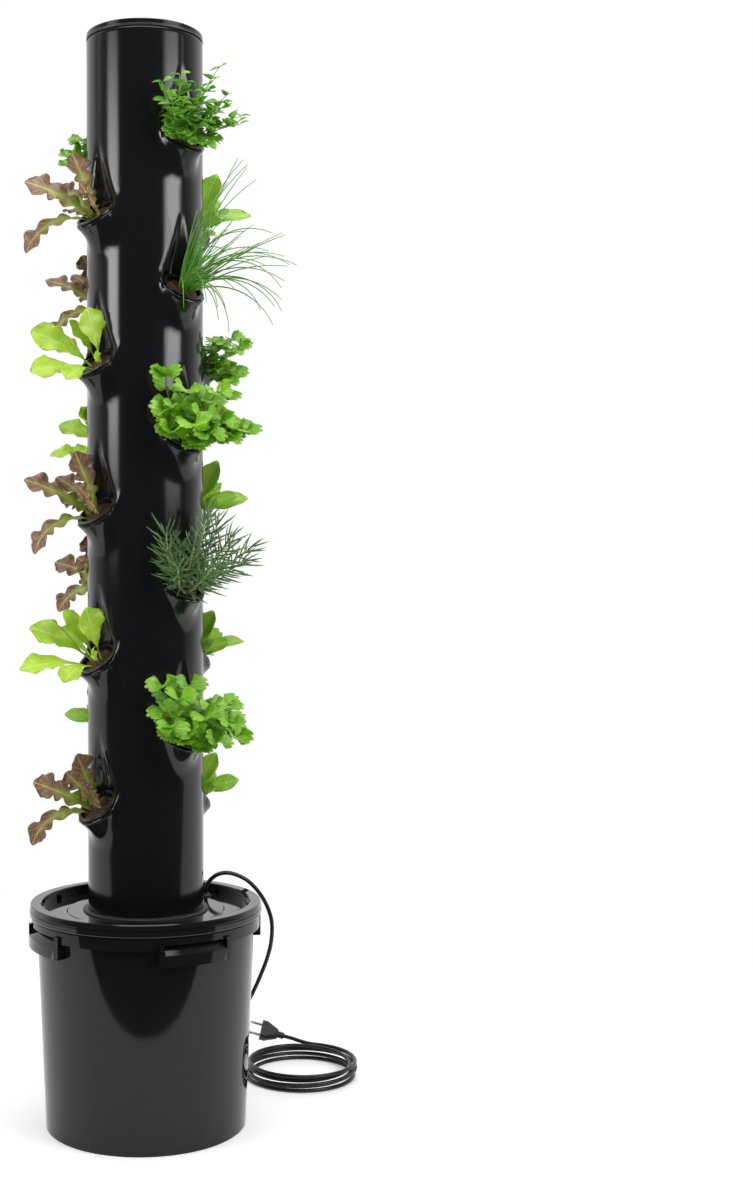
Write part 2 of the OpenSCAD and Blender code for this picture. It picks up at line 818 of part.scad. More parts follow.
// Net cup: a slotted basket that hangs by its flange
module net_cup(c, r) {
    slot_low = 11;
    slot_len = cup_len - 2 * slot_low + 2;
    color([0.03, 0.03, 0.03])
    on_mouth_axis(c, r)
        difference() {
            rotate_extrude()
                polygon([
                    [0, -cup_len], [cup_foot_r, -cup_len], [cup_r, 0], [cup_flange_r, 0],
                    [cup_flange_r, cup_flange_t], [cup_r - cup_wall, cup_flange_t],
                    [cup_foot_r - cup_wall, cup_wall - cup_len], [0, cup_wall - cup_len]
                ]);
            for (i = [0 : cup_slots / 2 - 1])
                rotate([0, 0, i * 360 / cup_slots])
                    translate([-cup_flange_r, -slot_w / 2, -cup_len + slot_low])
                        cube([2 * cup_flange_r, slot_w, slot_len]);
            for (i = [0 : 3])
                rotate([0, 0, i * 90 + 22.5])
                    translate([cup_foot_r * 0.55, 0, -cup_len - 1])
                        cylinder(r = cup_foot_r * 0.2, h = cup_wall + 2, $fn = 24);
        }
}

// Clump of fibre that fills a cup
module plug_of_fibre(c, r) {
    gap = 0.4;
    foot = cup_wall - cup_len;
    top = -fibre_drop;
    slope = (cup_r - cup_foot_r) / (cup_len + cup_flange_t);
    in_foot_r = cup_foot_r - cup_wall - gap;
    on_mouth_axis(c, r)
        translate([0, 0, foot])
            cylinder(r1 = in_foot_r, r2 = in_foot_r + slope * (top - foot), h = top - foot, $fn = 16);
}

// Kinds of leaf, as widths along the blade from foot to tip
lettuce_blade = [0.14, 0.24, 0.62, 1, 0.96, 0.5];
spoon_blade = [0.09, 0.12, 0.6, 1, 0.84, 0.2];
grass_blade = [1, 0.9, 0.75, 0.2];
stem_blade = [1, 0.7];
leaflet_blade = [0.2, 1, 0.15];
needle_blade = [1, 0.4];
stem_bend = 3;
/* Length of a leaf at which the tables below are true. */
grown_leaf = 100;

// Point along a blade that leans from lean a to lean b over its length
function blade_point(from, az, a, b, size, s) =
    let (k = b - a, f = size * 180 / PI / k)
    from + f * (cos(a) - cos(a + k * s)) * [cos(az), sin(az), 0]
        + f * (sin(a + k * s) - sin(a)) * [0, 0, 1];

// Width direction and upper side of a blade
function blade_side(az) = [-sin(az), cos(az), 0];
function blade_up(az, lean) = [-cos(lean) * cos(az), -cos(lean) * sin(az), sin(lean)];

// The four corners of a blade's section: two drawn-up sides, the midrib's back and its front
function blade_section(from, az, a, b, size, width, thick, cup, wave, s, roll = 0) =
    let (turn = roll * min(1, 2 * s), flat_side = blade_side(az), flat_up = blade_up(az, a + (b - a) * s))
    let (side = flat_side * cos(turn) - flat_up * sin(turn))
    let (up = flat_up * cos(turn) + flat_side * sin(turn))
    let (p = blade_point(from, az, a, b, size, s))
    [
        p - width / 2 * side + (cup * width / 2 + wave) * up,
        p - thick / 2 * up,
        p + width / 2 * side + (cup * width / 2 - wave) * up,
        p + thick / 2 * up
    ];

// One blade: solid stretches from section to section, with drawn-up sides and a ruffled edge
module blade(from, az, a, b, size, width, shape, thick, cup = 0.15, ruffle = 0, roll = 0) {
    n = len(shape);
    sections = [for (i = [0 : n - 1])
        blade_section(from, az, a, b, size, width * shape[i], thick, cup,
            ruffle * (i % 2 == 0 ? 1 : -1) * shape[i], i / (n - 1), roll)];
    for (i = [0 : n - 2])
        hull()
            polyhedron(points = concat(sections[i], sections[i + 1]), faces = tube_faces(2, 4));
}

// One leaflet: a single bulging stretch
module leaflet(from, az, a, b, size, width) {
    sections = [for (i = [0 : 2])
        blade_section(from, az, a, b, size, width * leaflet_blade[i], leaf_t, 0, 0, i / 2)];
    hull()
        polyhedron(points = concat(sections[0], sections[1], sections[2]), faces = tube_faces(3, 4));
}

// Where a stem that turns to az and leans by lean comes out of the fibre
function stem_foot(az, lean) =
    let (x = lean / 4 - 8, deep = fibre_drop + 4)
    [x * cos(mouth_lean) - deep * sin(mouth_lean), 10 * sin(az),
        -x * sin(mouth_lean) - deep * cos(mouth_lean)];

// Way out of a column's side, seen from the front, and the share of a leaf's turn from there to the front
sideways = [[52, -1], [-38, 1], [34, 0.4], [-30, -0.4]];
function leaf_turn(c, way) = sideways[c][0] + sideways[c][1] * way;

// Where the light comes from, seen from a column: the front and above
function light(c) =
    let (turn = column_angle - c * column_step)
    unit([-sin(turn), -cos(turn), 0.45]);

// How far a leaf rolls to face the light
light_share = 0.75;
function roll_to_light(c, az, lean) =
    light_share * atan2(blade_side(az) * light(c), blade_up(az, lean) * light(c));

/* Leaves of a rosette: turn from the side to the front, lean at the foot and the tip, length, width. */
lettuce_leaves = [
    [2, 50, 84, 110, 42], [24, 22, 32, 92, 34], [-6, 64, 140, 98, 27], [-26, 36, 60, 82, 30],
    [62, 30, 68, 42, 22], [40, 32, 54, 56, 22]
];
/* Leaves of a young spinach or romaine plant. */
spoon_leaves = [
    [8, 22, 32, 94, 28], [0, 46, 92, 98, 25], [-14, 34, 56, 66, 21], [28, 46, 84, 50, 17],
    [20, 42, 76, 74, 20]
];

// Leaves that rise from one foot, all of a kind
module rosette(leaves, shape, scale_by, c, cup, ruffle) {
    for (leaf = leaves) {
        az = leaf_turn(c, leaf[0]);
        blade(stem_foot(az, leaf[1]), az, leaf[1], leaf[2], leaf[3] * scale_by, leaf[4] * scale_by,
            shape, leaf_t, cup, ruffle * scale_by, roll_to_light(c, az, (leaf[1] + leaf[2]) / 2));
    }
}

// Grass-like tuft
module chives(scale_by) {
    count = 13;
    shortest = 94;
    longer = 9;
    for (i = [0 : count - 1]) {
        az = -68 + 136 * i / (count - 1);
        lean = 20 + 38 * ((i * 5) % 13) / 12;
        blade(stem_foot(az, lean), az, lean, lean + 30 + 8 * (i % 4),
            (shortest + longer * ((i * 3) % 5)) * scale_by, 2.8, grass_blade, 2.2, 0);
    }
}

// Bush of leafy stems: a crown of leaflets on each stem
module herb(scale_by) {
    stems = 7;
    leaflets = 3;
    shortest = 66;
    longer = 7;
    leaflet_len = 24;
    leaflet_w = 22;
    for (i = [0 : stems - 1]) {
        az = -58 + 116 * i / (stems - 1);
        lean = 25 + 31 * ((i * 3) % 7) / 6;
        from = stem_foot(az, lean);
        reach = (shortest + longer * ((i * 2) % 5)) * scale_by;
        blade(from, az, lean, lean + stem_bend, reach, 2.4, stem_blade, 2, 0);
        for (k = [0 : leaflets - 1])
            leaflet(blade_point(from, az, lean, lean + stem_bend, reach, 0.94 - 0.1 * k),
                0.4 * az + [0, 60, -60][k], lean + 24, lean + 50,
                leaflet_len * scale_by, leaflet_w * scale_by);
    }
}

// Bush of upright stems with needles all along them
module rosemary(scale_by) {
    stems = 9;
    needles = 5;
    shortest = 88;
    longer = 8;
    needle_len = 17;
    for (i = [0 : stems - 1]) {
        az = -60 + 120 * i / (stems - 1);
        lean = 25 + 35 * ((i * 4) % 9) / 8;
        from = stem_foot(az, lean);
        reach = (shortest + longer * ((i * 2) % 5)) * scale_by;
        blade(from, az, lean, lean + stem_bend, reach, 2.6, stem_blade, 2.2, 0);
        for (k = [0 : needles - 1])
            blade(
                blade_point(from, az, lean, lean + stem_bend, reach, 0.42 + 0.55 * k / (needles - 1)),
                az + 100 * k + 40, lean + 8, lean + 30, needle_len * scale_by, 2.6, needle_blade, 1.2, 0);
    }
}

/* What grows in each column, from the top pocket down. */
planting = [
    ["parsley", "chives", "parsley", "rosemary", "parsley"],
    ["lettuce", "lettuce", "lettuce", "lettuce", "lettuce"],
    ["parsley", "lettuce", "lettuce", "lettuce", "spoon"],
    ["spoon", "parsley", "spoon", "spoon", "spoon"]
];
/* Size of each plant beside its kind's usual size. */
plant_size = [
    [0.95, 1, 1.1, 1, 1.05],
    [1, 0.92, 0.98, 1, 0.9],
    [0.75, 0.9, 0.8, 0.85, 0.7],
    [0.95, 0.9, 0.95, 0.85, 0.75]
];

module plant(c, r) {
    kind = planting[c][r];
    scale_by = plant_size[c][r] * leaf_len / grown_leaf;
    color(kind == "rosemary" ? [0.25, 0.4, 0.22] : [0.35, 0.62, 0.12])
    union() {
        plug_of_fibre(c, r);
        at_mouth(c, r) {
            if (kind == "lettuce") rosette(lettuce_leaves, lettuce_blade, scale_by, c, 0.2, 3);
            if (kind == "spoon") rosette(spoon_leaves, spoon_blade, scale_by, c, 0.25, 0);
            if (kind == "chives") chives(scale_by);
            if (kind == "parsley") herb(scale_by);
            if (kind == "rosemary") rosemary(scale_by);
        }
    }
}

bucket();
lid();
lid_seal();
pipe_seal();
cord_grommet();
tower_tube();
distributor();
top_cap();
riser_hose();
pump_housing();
pump_strainer();
pump_feet();
impeller_shaft();
impeller();
flow_knob();
cord_inner();
cord_free();
cord_coil();
plug_body();
plug_pins();
for (c = [0 : 3], r = [0 : rows - 1]) {
    net_cup(c, r);
    plant(c, r);
}
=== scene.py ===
import math
import random

import bmesh
import bpy
import numpy as np
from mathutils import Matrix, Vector


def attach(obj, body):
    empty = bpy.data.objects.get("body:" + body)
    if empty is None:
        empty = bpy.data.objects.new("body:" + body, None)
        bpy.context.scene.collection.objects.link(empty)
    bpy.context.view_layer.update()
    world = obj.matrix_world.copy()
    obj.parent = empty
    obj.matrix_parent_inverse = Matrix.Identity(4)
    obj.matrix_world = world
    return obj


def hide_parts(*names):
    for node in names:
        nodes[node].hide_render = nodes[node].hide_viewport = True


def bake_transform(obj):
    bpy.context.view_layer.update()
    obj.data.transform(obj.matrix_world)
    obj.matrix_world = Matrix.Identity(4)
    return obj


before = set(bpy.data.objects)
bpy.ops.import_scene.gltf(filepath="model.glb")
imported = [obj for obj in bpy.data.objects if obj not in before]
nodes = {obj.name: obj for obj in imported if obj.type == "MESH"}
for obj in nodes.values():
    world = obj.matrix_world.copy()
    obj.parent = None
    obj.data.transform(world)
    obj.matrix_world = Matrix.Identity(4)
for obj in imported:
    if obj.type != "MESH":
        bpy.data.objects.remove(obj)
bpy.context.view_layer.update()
scene = bpy.context.scene
scene.view_settings.view_transform = "Standard"
MM = 0.001


def link(obj):
    scene.collection.objects.link(obj)
    return obj


# Camera
EYE = (0, -2.23, 0.78)
DOWN, TO_THE_RIGHT = 1.32, 3.96  # degrees
cam_data = bpy.data.cameras.new("camera")
cam_data.sensor_width = 36
cam_data.lens = 48.1
cam_data.shift_x = 0.1
cam_data.clip_end = 60
camera = link(bpy.data.objects.new("camera", cam_data))
camera.location = EYE
camera.rotation_euler = (math.radians(90 - DOWN), 0, math.radians(-TO_THE_RIGHT))
scene.camera = camera


# Shader nodes
def material(name):
    m = bpy.data.materials.new(name)
    m.use_nodes = True
    return m, m.node_tree, m.node_tree.nodes["Principled BSDF"]


def add(tree, kind, **settings):
    n = tree.nodes.new("ShaderNode" + kind)
    for key, value in settings.items():
        setattr(n, key, value)
    return n


def calc(tree, operation, *values):
    """A Math node's result. Each value is a number or another node's output."""
    n = add(tree, "Math", operation=operation)
    for socket, value in zip(n.inputs, values):
        if isinstance(value, (int, float)):
            socket.default_value = value
        else:
            tree.links.new(value, socket)
    return n.outputs[0]


def largest(tree, *values):
    out = values[0]
    for value in values[1:]:
        out = calc(tree, "MAXIMUM", out, value)
    return out


def remap(tree, value, low, high, to_low=0, to_high=1, kind="LINEAR"):
    """Maps low..high to to_low..to_high, and holds the ends outside."""
    n = add(tree, "MapRange", interpolation_type=kind)
    for key, number in (("From Min", low), ("From Max", high), ("To Min", to_low), ("To Max", to_high)):
        n.inputs[key].default_value = number
    tree.links.new(value, n.inputs["Value"])
    return n.outputs["Result"]


# Most of a noise lies between these values
NOISE_LOW, NOISE_HIGH = 0.3, 0.7


def noise(tree, vector, scale, detail=4, rough=0.5):
    n = add(tree, "TexNoise")
    for key, number in (("Scale", scale), ("Detail", detail), ("Roughness", rough)):
        n.inputs[key].default_value = number
    tree.links.new(vector, n.inputs["Vector"])
    return n.outputs["Fac"]


def spread(tree, cloud, low, high):
    return remap(tree, cloud, NOISE_LOW, NOISE_HIGH, low, high)


def ramp(tree, fac, *stops):
    n = add(tree, "ValToRGB")
    e = n.color_ramp.elements
    while len(e) < len(stops):
        e.new(0.5)
    for el, (pos, colour) in zip(e, stops):
        el.position = pos
        el.color = (*colour, 1)
    tree.links.new(fac, n.inputs["Fac"])
    return n.outputs["Color"]


def clouded(tree, cloud, dark, light):
    return ramp(tree, cloud, (NOISE_LOW, dark), (NOISE_HIGH, light))


def bump(tree, height, shader, strength, distance):
    n = add(tree, "Bump")
    n.inputs["Strength"].default_value = strength
    n.inputs["Distance"].default_value = distance
    tree.links.new(height, n.inputs["Height"])
    tree.links.new(n.outputs["Normal"], shader.inputs["Normal"])


def mix(tree, factor, a, b):
    """Colour a where the factor is 0, and the plain colour b where it is 1."""
    n = add(tree, "Mix", data_type="RGBA")
    tree.links.new(factor, n.inputs[0])
    tree.links.new(a, n.inputs[6])
    n.inputs[7].default_value = (*b, 1)
    return n.outputs[2]


def coords(tree, stretch=(1, 1, 1)):
    m = add(tree, "Mapping")
    m.inputs["Scale"].default_value = stretch
    tree.links.new(add(tree, "TexCoord").outputs["Object"], m.inputs["Vector"])
    return m.outputs["Vector"]


def split(tree, vector):
    n = add(tree, "SeparateXYZ")
    tree.links.new(vector, n.inputs["Vector"])
    return n.outputs


# Materials
def plastic(name, dark, light, rough, grain, relief, depth, stretch=(1, 1, 1), metal=0.0, ior=1.45):
    """Moulded surface: clouds of colour, uneven gloss and a bump of the grain's scale."""
    m, tree, b = material(name)
    v = coords(tree, stretch)
    tree.links.new(clouded(tree, noise(tree, v, grain / 25), dark, light), b.inputs["Base Color"])
    tree.links.new(spread(tree, noise(tree, v, grain / 6), *rough), b.inputs["Roughness"])
    bump(tree, noise(tree, v, grain), b, relief, depth)
    b.inputs["Metallic"].default_value = metal
    b.inputs["IOR"].default_value = ior
    return m


pipe_mat = plastic("pipe_gloss", (0.007, 0.007, 0.008), (0.010, 0.010, 0.012), (0.10, 0.17), 14, 0.10, 0.004,
                   stretch=(1, 1, 0.25))
pail_mat = plastic("pail_gloss", (0.008, 0.008, 0.008), (0.011, 0.011, 0.012), (0.05, 0.09), 60, 0.04, 0.0006,
                   ior=1.38)
lid_mat = plastic("lid_gloss", (0.008, 0.008, 0.008), (0.011, 0.011, 0.012), (0.04, 0.08), 50, 0.05, 0.0006)
cup_mat = plastic("cup_satin", (0.010, 0.010, 0.010), (0.016, 0.016, 0.016), (0.22, 0.34), 500, 0.12, 0.0003)
inner_mat = plastic("inner_satin", (0.03, 0.03, 0.03), (0.045, 0.045, 0.045), (0.35, 0.5), 500, 0.1, 0.0003)
pump_mat = plastic("pump_satin", (0.014, 0.014, 0.015), (0.022, 0.022, 0.024), (0.3, 0.45), 600, 0.15, 0.0003)
knob_mat = plastic("knob_grey", (0.22, 0.22, 0.23), (0.28, 0.28, 0.29), (0.35, 0.5), 600, 0.1, 0.0003)
hose_mat = plastic("hose_grey", (0.25, 0.27, 0.28), (0.33, 0.35, 0.36), (0.25, 0.4), 300, 0.1, 0.0003)
rubber_mat = plastic("rubber_black", (0.010, 0.010, 0.010), (0.018, 0.018, 0.018), (0.4, 0.55), 700, 0.2, 0.0003)
steel_mat = plastic("shaft_ground", (0.5, 0.5, 0.5), (0.62, 0.62, 0.62), (0.15, 0.3), 900, 0.08, 0.0001,
                    stretch=(1, 20, 20), metal=1.0)
lead_mat = plastic("lead_sheath", (0.008, 0.008, 0.008), (0.013, 0.013, 0.013), (0.24, 0.36), 900, 0.1, 0.0002)
plug_mat = plastic("plug_moulded", (0.010, 0.010, 0.010), (0.016, 0.016, 0.016), (0.3, 0.42), 900, 0.25, 0.0002)
pin_mat = plastic("pin_nickel", (0.5, 0.49, 0.47), (0.62, 0.61, 0.59), (0.14, 0.28), 700, 0.06, 0.0001, metal=1.0)

LEAF_ROUGH = (0.34, 0.5)
VEIN_SLANT, VEIN_FROM, VEIN_STRENGTH, VEIN_SINK = 0.22, 0.9, 0.45, 0.6
RIB_HALF, RIB_FADE, RIB_STRENGTH = 0.03, 0.08, 0.7
# How much the edge colour favours the sides over the tip, how ragged it is, and where it starts and is full
EDGE_SIDES, EDGE_RAGGED, EDGE_START, EDGE_FULL = 0.5, 0.9, 0.91, 1.41


def leaf_material(name, deep, fresh, rib, edge=None, tooth=55):
    """Leaf: UV x runs across the blade, UV y from foot to tip."""
    m, tree, b = material(name)
    v = coords(tree)
    uv = split(tree, add(tree, "TexCoord").outputs["UV"])
    off = calc(tree, "ABSOLUTE", remap(tree, uv["X"], 0, 1, -1, 1))
    body = clouded(tree, noise(tree, v, 38, 5, 0.6), deep, fresh)
    if edge:
        rim = calc(tree, "MULTIPLY_ADD", off, EDGE_SIDES, uv["Y"])
        blotch = calc(tree, "MULTIPLY_ADD", noise(tree, v, 70, 4, 0.6), EDGE_RAGGED, rim)
        body = mix(tree, remap(tree, blotch, EDGE_START, EDGE_FULL), body, edge)
    # Pale midrib and side veins that run forward from it
    slant = calc(tree, "MULTIPLY_ADD", off, -VEIN_SLANT, uv["Y"])
    vein = remap(tree, calc(tree, "SINE", calc(tree, "MULTIPLY", slant, tooth)), VEIN_FROM, 1, 0, VEIN_STRENGTH)
    both = largest(tree, vein, remap(tree, off, RIB_HALF, RIB_FADE, RIB_STRENGTH, 0))
    tree.links.new(mix(tree, both, body, rib), b.inputs["Base Color"])
    tree.links.new(spread(tree, noise(tree, v, 120), *LEAF_ROUGH), b.inputs["Roughness"])
    bump(tree, calc(tree, "MULTIPLY_ADD", both, -VEIN_SINK, noise(tree, v, 160)), b, 0.5, 0.0008)
    b.inputs["Subsurface Weight"].default_value = 0.25
    b.inputs["Subsurface Scale"].default_value = 0.002
    b.inputs["Subsurface Radius"].default_value = (0.6, 1.0, 0.3)
    return m


red_leaf = leaf_material("leaf_red_oak", (0.30, 0.38, 0.04), (0.46, 0.53, 0.08), (0.54, 0.58, 0.16),
                         edge=(0.25, 0.11, 0.075))
green_leaf = leaf_material("leaf_lettuce", (0.36, 0.60, 0.02), (0.52, 0.76, 0.05), (0.64, 0.80, 0.2))
spoon_leaf = leaf_material("leaf_spinach", (0.24, 0.49, 0.025), (0.38, 0.63, 0.05), (0.52, 0.70, 0.16))
herb_leaf = leaf_material("leaf_parsley", (0.15, 0.40, 0.010), (0.28, 0.58, 0.025), (0.38, 0.66, 0.08), tooth=30)
mint_leaf = leaf_material("leaf_mint", (0.10, 0.33, 0.012), (0.20, 0.50, 0.03), (0.26, 0.52, 0.07), tooth=40)
grass_leaf = leaf_material("leaf_chives", (0.07, 0.24, 0.02), (0.15, 0.38, 0.035), (0.18, 0.42, 0.06), tooth=4)
needle_leaf = leaf_material("leaf_rosemary", (0.07, 0.17, 0.045), (0.18, 0.31, 0.12), (0.36, 0.46, 0.28), tooth=4)
stalk_mat = plastic("stalk_green", (0.22, 0.40, 0.06), (0.36, 0.54, 0.12), (0.4, 0.55), 900, 0.2, 0.0003)
wood_mat = plastic("stalk_woody", (0.42, 0.50, 0.20), (0.58, 0.62, 0.30), (0.45, 0.6), 900, 0.3, 0.0004)
coir_mat = plastic("coir_fibre", (0.035, 0.016, 0.007), (0.16, 0.085, 0.045), (0.75, 0.95), 1400, 0.7, 0.001)
coir_strand = plastic("coir_strand", (0.09, 0.045, 0.02), (0.24, 0.14, 0.075), (0.6, 0.8), 1400, 0.3, 0.0004)

for names, mat in (
    (("bucket",), pail_mat),
    (("lid",), lid_mat),
    (("lid_seal", "pipe_seal", "cord_grommet", "pump_feet"), rubber_mat),
    (("tower_tube", "top_cap"), pipe_mat),
    (("distributor", "impeller"), inner_mat),
    (("riser_hose",), hose_mat),
    (("pump_housing", "pump_strainer"), pump_mat),
    (("impeller_shaft",), steel_mat),
    (("flow_knob",), knob_mat),
    (("plug_body",), plug_mat),
    (("plug_pins",), pin_mat),
    (tuple(n for n in nodes if n.startswith("cup_")), cup_mat),
):
    for name in names:
        slots = nodes[name].data.materials
        if not slots:
            slots.append(mat)
        for i in range(len(slots)):
            slots[i] = mat


# Mesh helpers, in millimetres
def mesh_object(name, bm, mats, smooth=True):
    bmesh.ops.recalc_face_normals(bm, faces=bm.faces)
    for v in bm.verts:
        v.co *= MM
    data = bpy.data.meshes.new(name)
    bm.to_mesh(data)
    bm.free()
    for m in mats:
        data.materials.append(m)
    if smooth:
        data.polygons.foreach_set("use_smooth", [True] * len(data.polygons))
    return link(bpy.data.objects.new(name, data))


def square_to(direction):
    d = direction.normalized()
    other = Vector((0, 0, 1)) if abs(d.z) < 0.9 else Vector((1, 0, 0))
    return (other - d * other.dot(d)).normalized()


def tube(bm, path, radii, sides, slot=0):
    """A closed tube along a path, with sideways vectors carried along without twist."""
    rings, u = [], None
    n = len(path)
    for i, p in enumerate(path):
        d = (path[min(i + 1, n - 1)] - path[max(i - 1, 0)]).normalized()
        u = square_to(d) if u is None else (u - d * u.dot(d)).normalized()
        v = d.cross(u)
        r = radii[i] if isinstance(radii, (list, tuple)) else radii
        rings.append([
            bm.verts.new(p + r * (math.cos(2 * math.pi * k / sides) * u + math.sin(2 * math.pi * k / sides) * v))
            for k in range(sides)
        ])
    faces = []
    for a, b in zip(rings, rings[1:]):
        for k in range(sides):
            faces.append(bm.faces.new((a[k], a[(k + 1) % sides], b[(k + 1) % sides], b[k])))
    faces.append(bm.faces.new(rings[0][::-1]))
    faces.append(bm.faces.new(rings[-1]))
    for f in faces:
        f.material_index = slot


def smooth_route(p, steps):
    """A smooth curve through the points, in so many steps from each to the next."""
    out = []
    n = len(p) - 1
    for i in range(n):
        a, b, c, d = p[max(i - 1, 0)], p[i], p[i + 1], p[min(i + 2, n)]
        for k in range(steps):
            t = k / steps
            out.append(0.5 * (2 * b + (c - a) * t + (2 * a - 5 * b + 4 * c - d) * t * t
                              + (3 * b - a - 3 * c + d) * t ** 3))
    out.append(p[n])
    return out


# Mains lead and pump lead, along the routes of their solids
inner_route = [Vector(p) for p in (
    (36, 0, 36), (44, 0, 36), (56, 0, 34), (70, 0, 31), (84, 2, 30), (97, 8, 34), (106, 20, 46),
    (109, 36, 66), (106, 52, 95), (100, 66, 130), (93, 75, 170), (88, 80, 210), (86, 82, 250),
    (86, 82, 280), (86, 82, 300))]
free_route = [Vector(p) for p in (
    (86, 82, 300), (86, 82, 305), (88, 82, 314), (94, 83, 322), (103, 85, 328), (114, 88, 330),
    (126, 91, 328), (138, 93, 323), (149, 94, 316), (160, 95, 305), (170, 96, 291), (178, 97, 275),
    (183, 98, 258), (184, 99, 240), (182, 101, 220), (177, 103, 200), (170, 106, 180), (161, 109, 158),
    (151, 112, 137), (138, 117, 114), (126, 123, 93), (115, 130, 70), (106, 139, 48), (100, 149, 29),
    (97, 159, 15), (95, 168, 7.5), (95, 177, 4), (95, 185, 3.2), (97, 196, 3.2), (103, 205, 3.2),
    (112, 211, 3.2), (123, 213, 3.2), (134, 211, 3.2), (143, 205, 3.2), (149, 196, 3.2), (151, 185, 3.2))]
tail_rise = [Vector(p) for p in ((-9, 2.6, 1), (-18, 4.6, 3), (-27, 6.2, 5.6), (-35, 7.4, 8.2), (-41, 8, 9.8))]
LEAD_R, LEAD_SIDES = 3, 12
ROUTE_STEPS, TAIL_STEPS, COIL_STEPS = 4, 3, 226
# The coil winds in and out in layers, and climbs a step over half a turn from each to the next
COIL_R, COIL_SPREAD, COIL_STEP, COIL_Z, LAYERS, SWEEP = 84, 10, 6.6, 3.2, 4, 1690
COIL_AT = (free_route[-1].x + COIL_R, free_route[-1].y)
LAYER_SWEEP = SWEEP / LAYERS


def coil_point(a):
    part = a / LAYER_SWEEP
    k = min(int(part), LAYERS - 1)
    share = part - k
    r = COIL_R - COIL_SPREAD * (share if k % 2 == 0 else 1 - share)
    turn = math.floor(part + 0.5)
    if turn <= 0:
        climb = 0
    elif turn >= LAYERS:
        climb = LAYERS - 1
    else:
        climb = turn - 1 + min(max((a - turn * LAYER_SWEEP) / 180 + 0.5, 0), 1)
    w = math.radians(180 + a)
    return Vector((COIL_AT[0] + r * math.cos(w), COIL_AT[1] + r * math.sin(w), COIL_Z + COIL_STEP * climb))


coil = [coil_point(SWEEP * i / COIL_STEPS) for i in range(COIL_STEPS + 1)]
tail = [coil[-1] + p for p in tail_rise]
plug_dir = (tail[-1] - tail[-2]).normalized()
ending = smooth_route([coil[-2], coil[-1], *tail, tail[-1] + 2 * LEAD_R * plug_dir], TAIL_STEPS)[TAIL_STEPS:]
lead_path = smooth_route(free_route, ROUTE_STEPS)[:-1] + coil[:-1] + ending
inner_path = smooth_route(inner_route, ROUTE_STEPS)


def lead(name, path):
    bm = bmesh.new()
    tube(bm, path, LEAD_R, LEAD_SIDES)
    return mesh_object(name, bm, [lead_mat])


outer = lead("mains_lead", lead_path)
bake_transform(outer)
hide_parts("cord_free", "cord_coil")
inner = lead("pump_lead", inner_path)
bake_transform(inner)
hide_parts("cord_inner")


# Plants. Each is built round its mouth's middle, with x out of the pipe, and then moved to its place
LEAN = math.radians(40)
COLUMN_ANGLE = {"a": 308, "b": 218, "c": 128, "d": 38}
MOUTH_RHO, FIRST_Z, PITCH, ROWS = 83, 450, 200, 5
FIBRE_DROP, CUP_R, CUP_FOOT_R, CUP_LEN, CUP_WALL, FLANGE_T = 3, 26.5, 18, 51, 1.5, 2
CUP_TAPER = (CUP_R - CUP_FOOT_R) / (CUP_LEN + FLANGE_T)
# Way out of the column's side, seen from the front, and the share of a turn from there to the front
SIDEWAYS = {"a": (52, -1), "b": (-38, 1), "c": (34, 0.4), "d": (-30, -0.4)}
# Places of a plant's materials
LEAF, STALK, COIR, STRAND = range(4)


def mouth_z(col, row):
    return FIRST_Z + (ROWS - row + (0.5 if col in "ac" else 0)) * PITCH


def profile(*w):
    """A smooth width along a blade from widths at even steps."""
    n = len(w) - 1

    def at(s):
        x = min(max(s, 0), 1) * n
        i = min(int(x), n - 1)
        t = x - i
        t = t * t * (3 - 2 * t)
        return w[i] + (w[i + 1] - w[i]) * t
    return at


LETTUCE = profile(0.09, 0.095, 0.10, 0.11, 0.13, 0.17, 0.22, 0.34, 0.50, 0.67, 0.82, 0.93, 0.99, 1.0, 0.96, 0.82,
                  0.40)
OAK = profile(0.12, 0.18, 0.24, 0.34, 0.46, 0.55, 0.62, 0.67, 0.70, 0.73, 0.77, 0.86, 0.96, 1.0, 0.98, 0.86, 0.44)
SPOON = profile(0.07, 0.07, 0.075, 0.08, 0.10, 0.15, 0.28, 0.50, 0.72, 0.88, 0.97, 1.0, 1.0, 0.98, 0.93, 0.82, 0.50)
FAN = profile(0.12, 0.56, 0.90, 1.0, 0.84)
ROUND = profile(0.12, 0.60, 0.95, 1.0, 0.84, 0.52, 0.10)


def blade_frame(base, az, a, b, length, s):
    """Point, upper side and width direction on a blade that leans from a to b degrees."""
    k = math.radians(b - a)
    if abs(k) < 1e-3:
        k = 1e-3
    a = math.radians(a)
    lean = a + k * s
    out = Vector((math.cos(az), math.sin(az), 0))
    p = base + out * (length / k * (math.cos(a) - math.cos(lean)))
    p = p + Vector((0, 0, length / k * (math.sin(lean) - math.sin(a))))
    up = Vector((0, 0, math.sin(lean))) - out * math.cos(lean)
    return p, up, Vector((-math.sin(az), math.cos(az), 0))


def notch(x):
    """0 on a lobe's crown, 1 in the narrow bay between two lobes."""
    return (1 - abs(math.sin(math.pi * x))) ** 1.6


# The blade is turned to the light as it lies at this share of its length, and has the whole turn by 1 / ROLL_SPEED
ROLL_AT, ROLL_SPEED = 0.6, 2.5
# Up to the crown the bays lose depth over this length, down to this share of it
CROWN_SHARE, CROWN_FADE = 0.25, 0.08


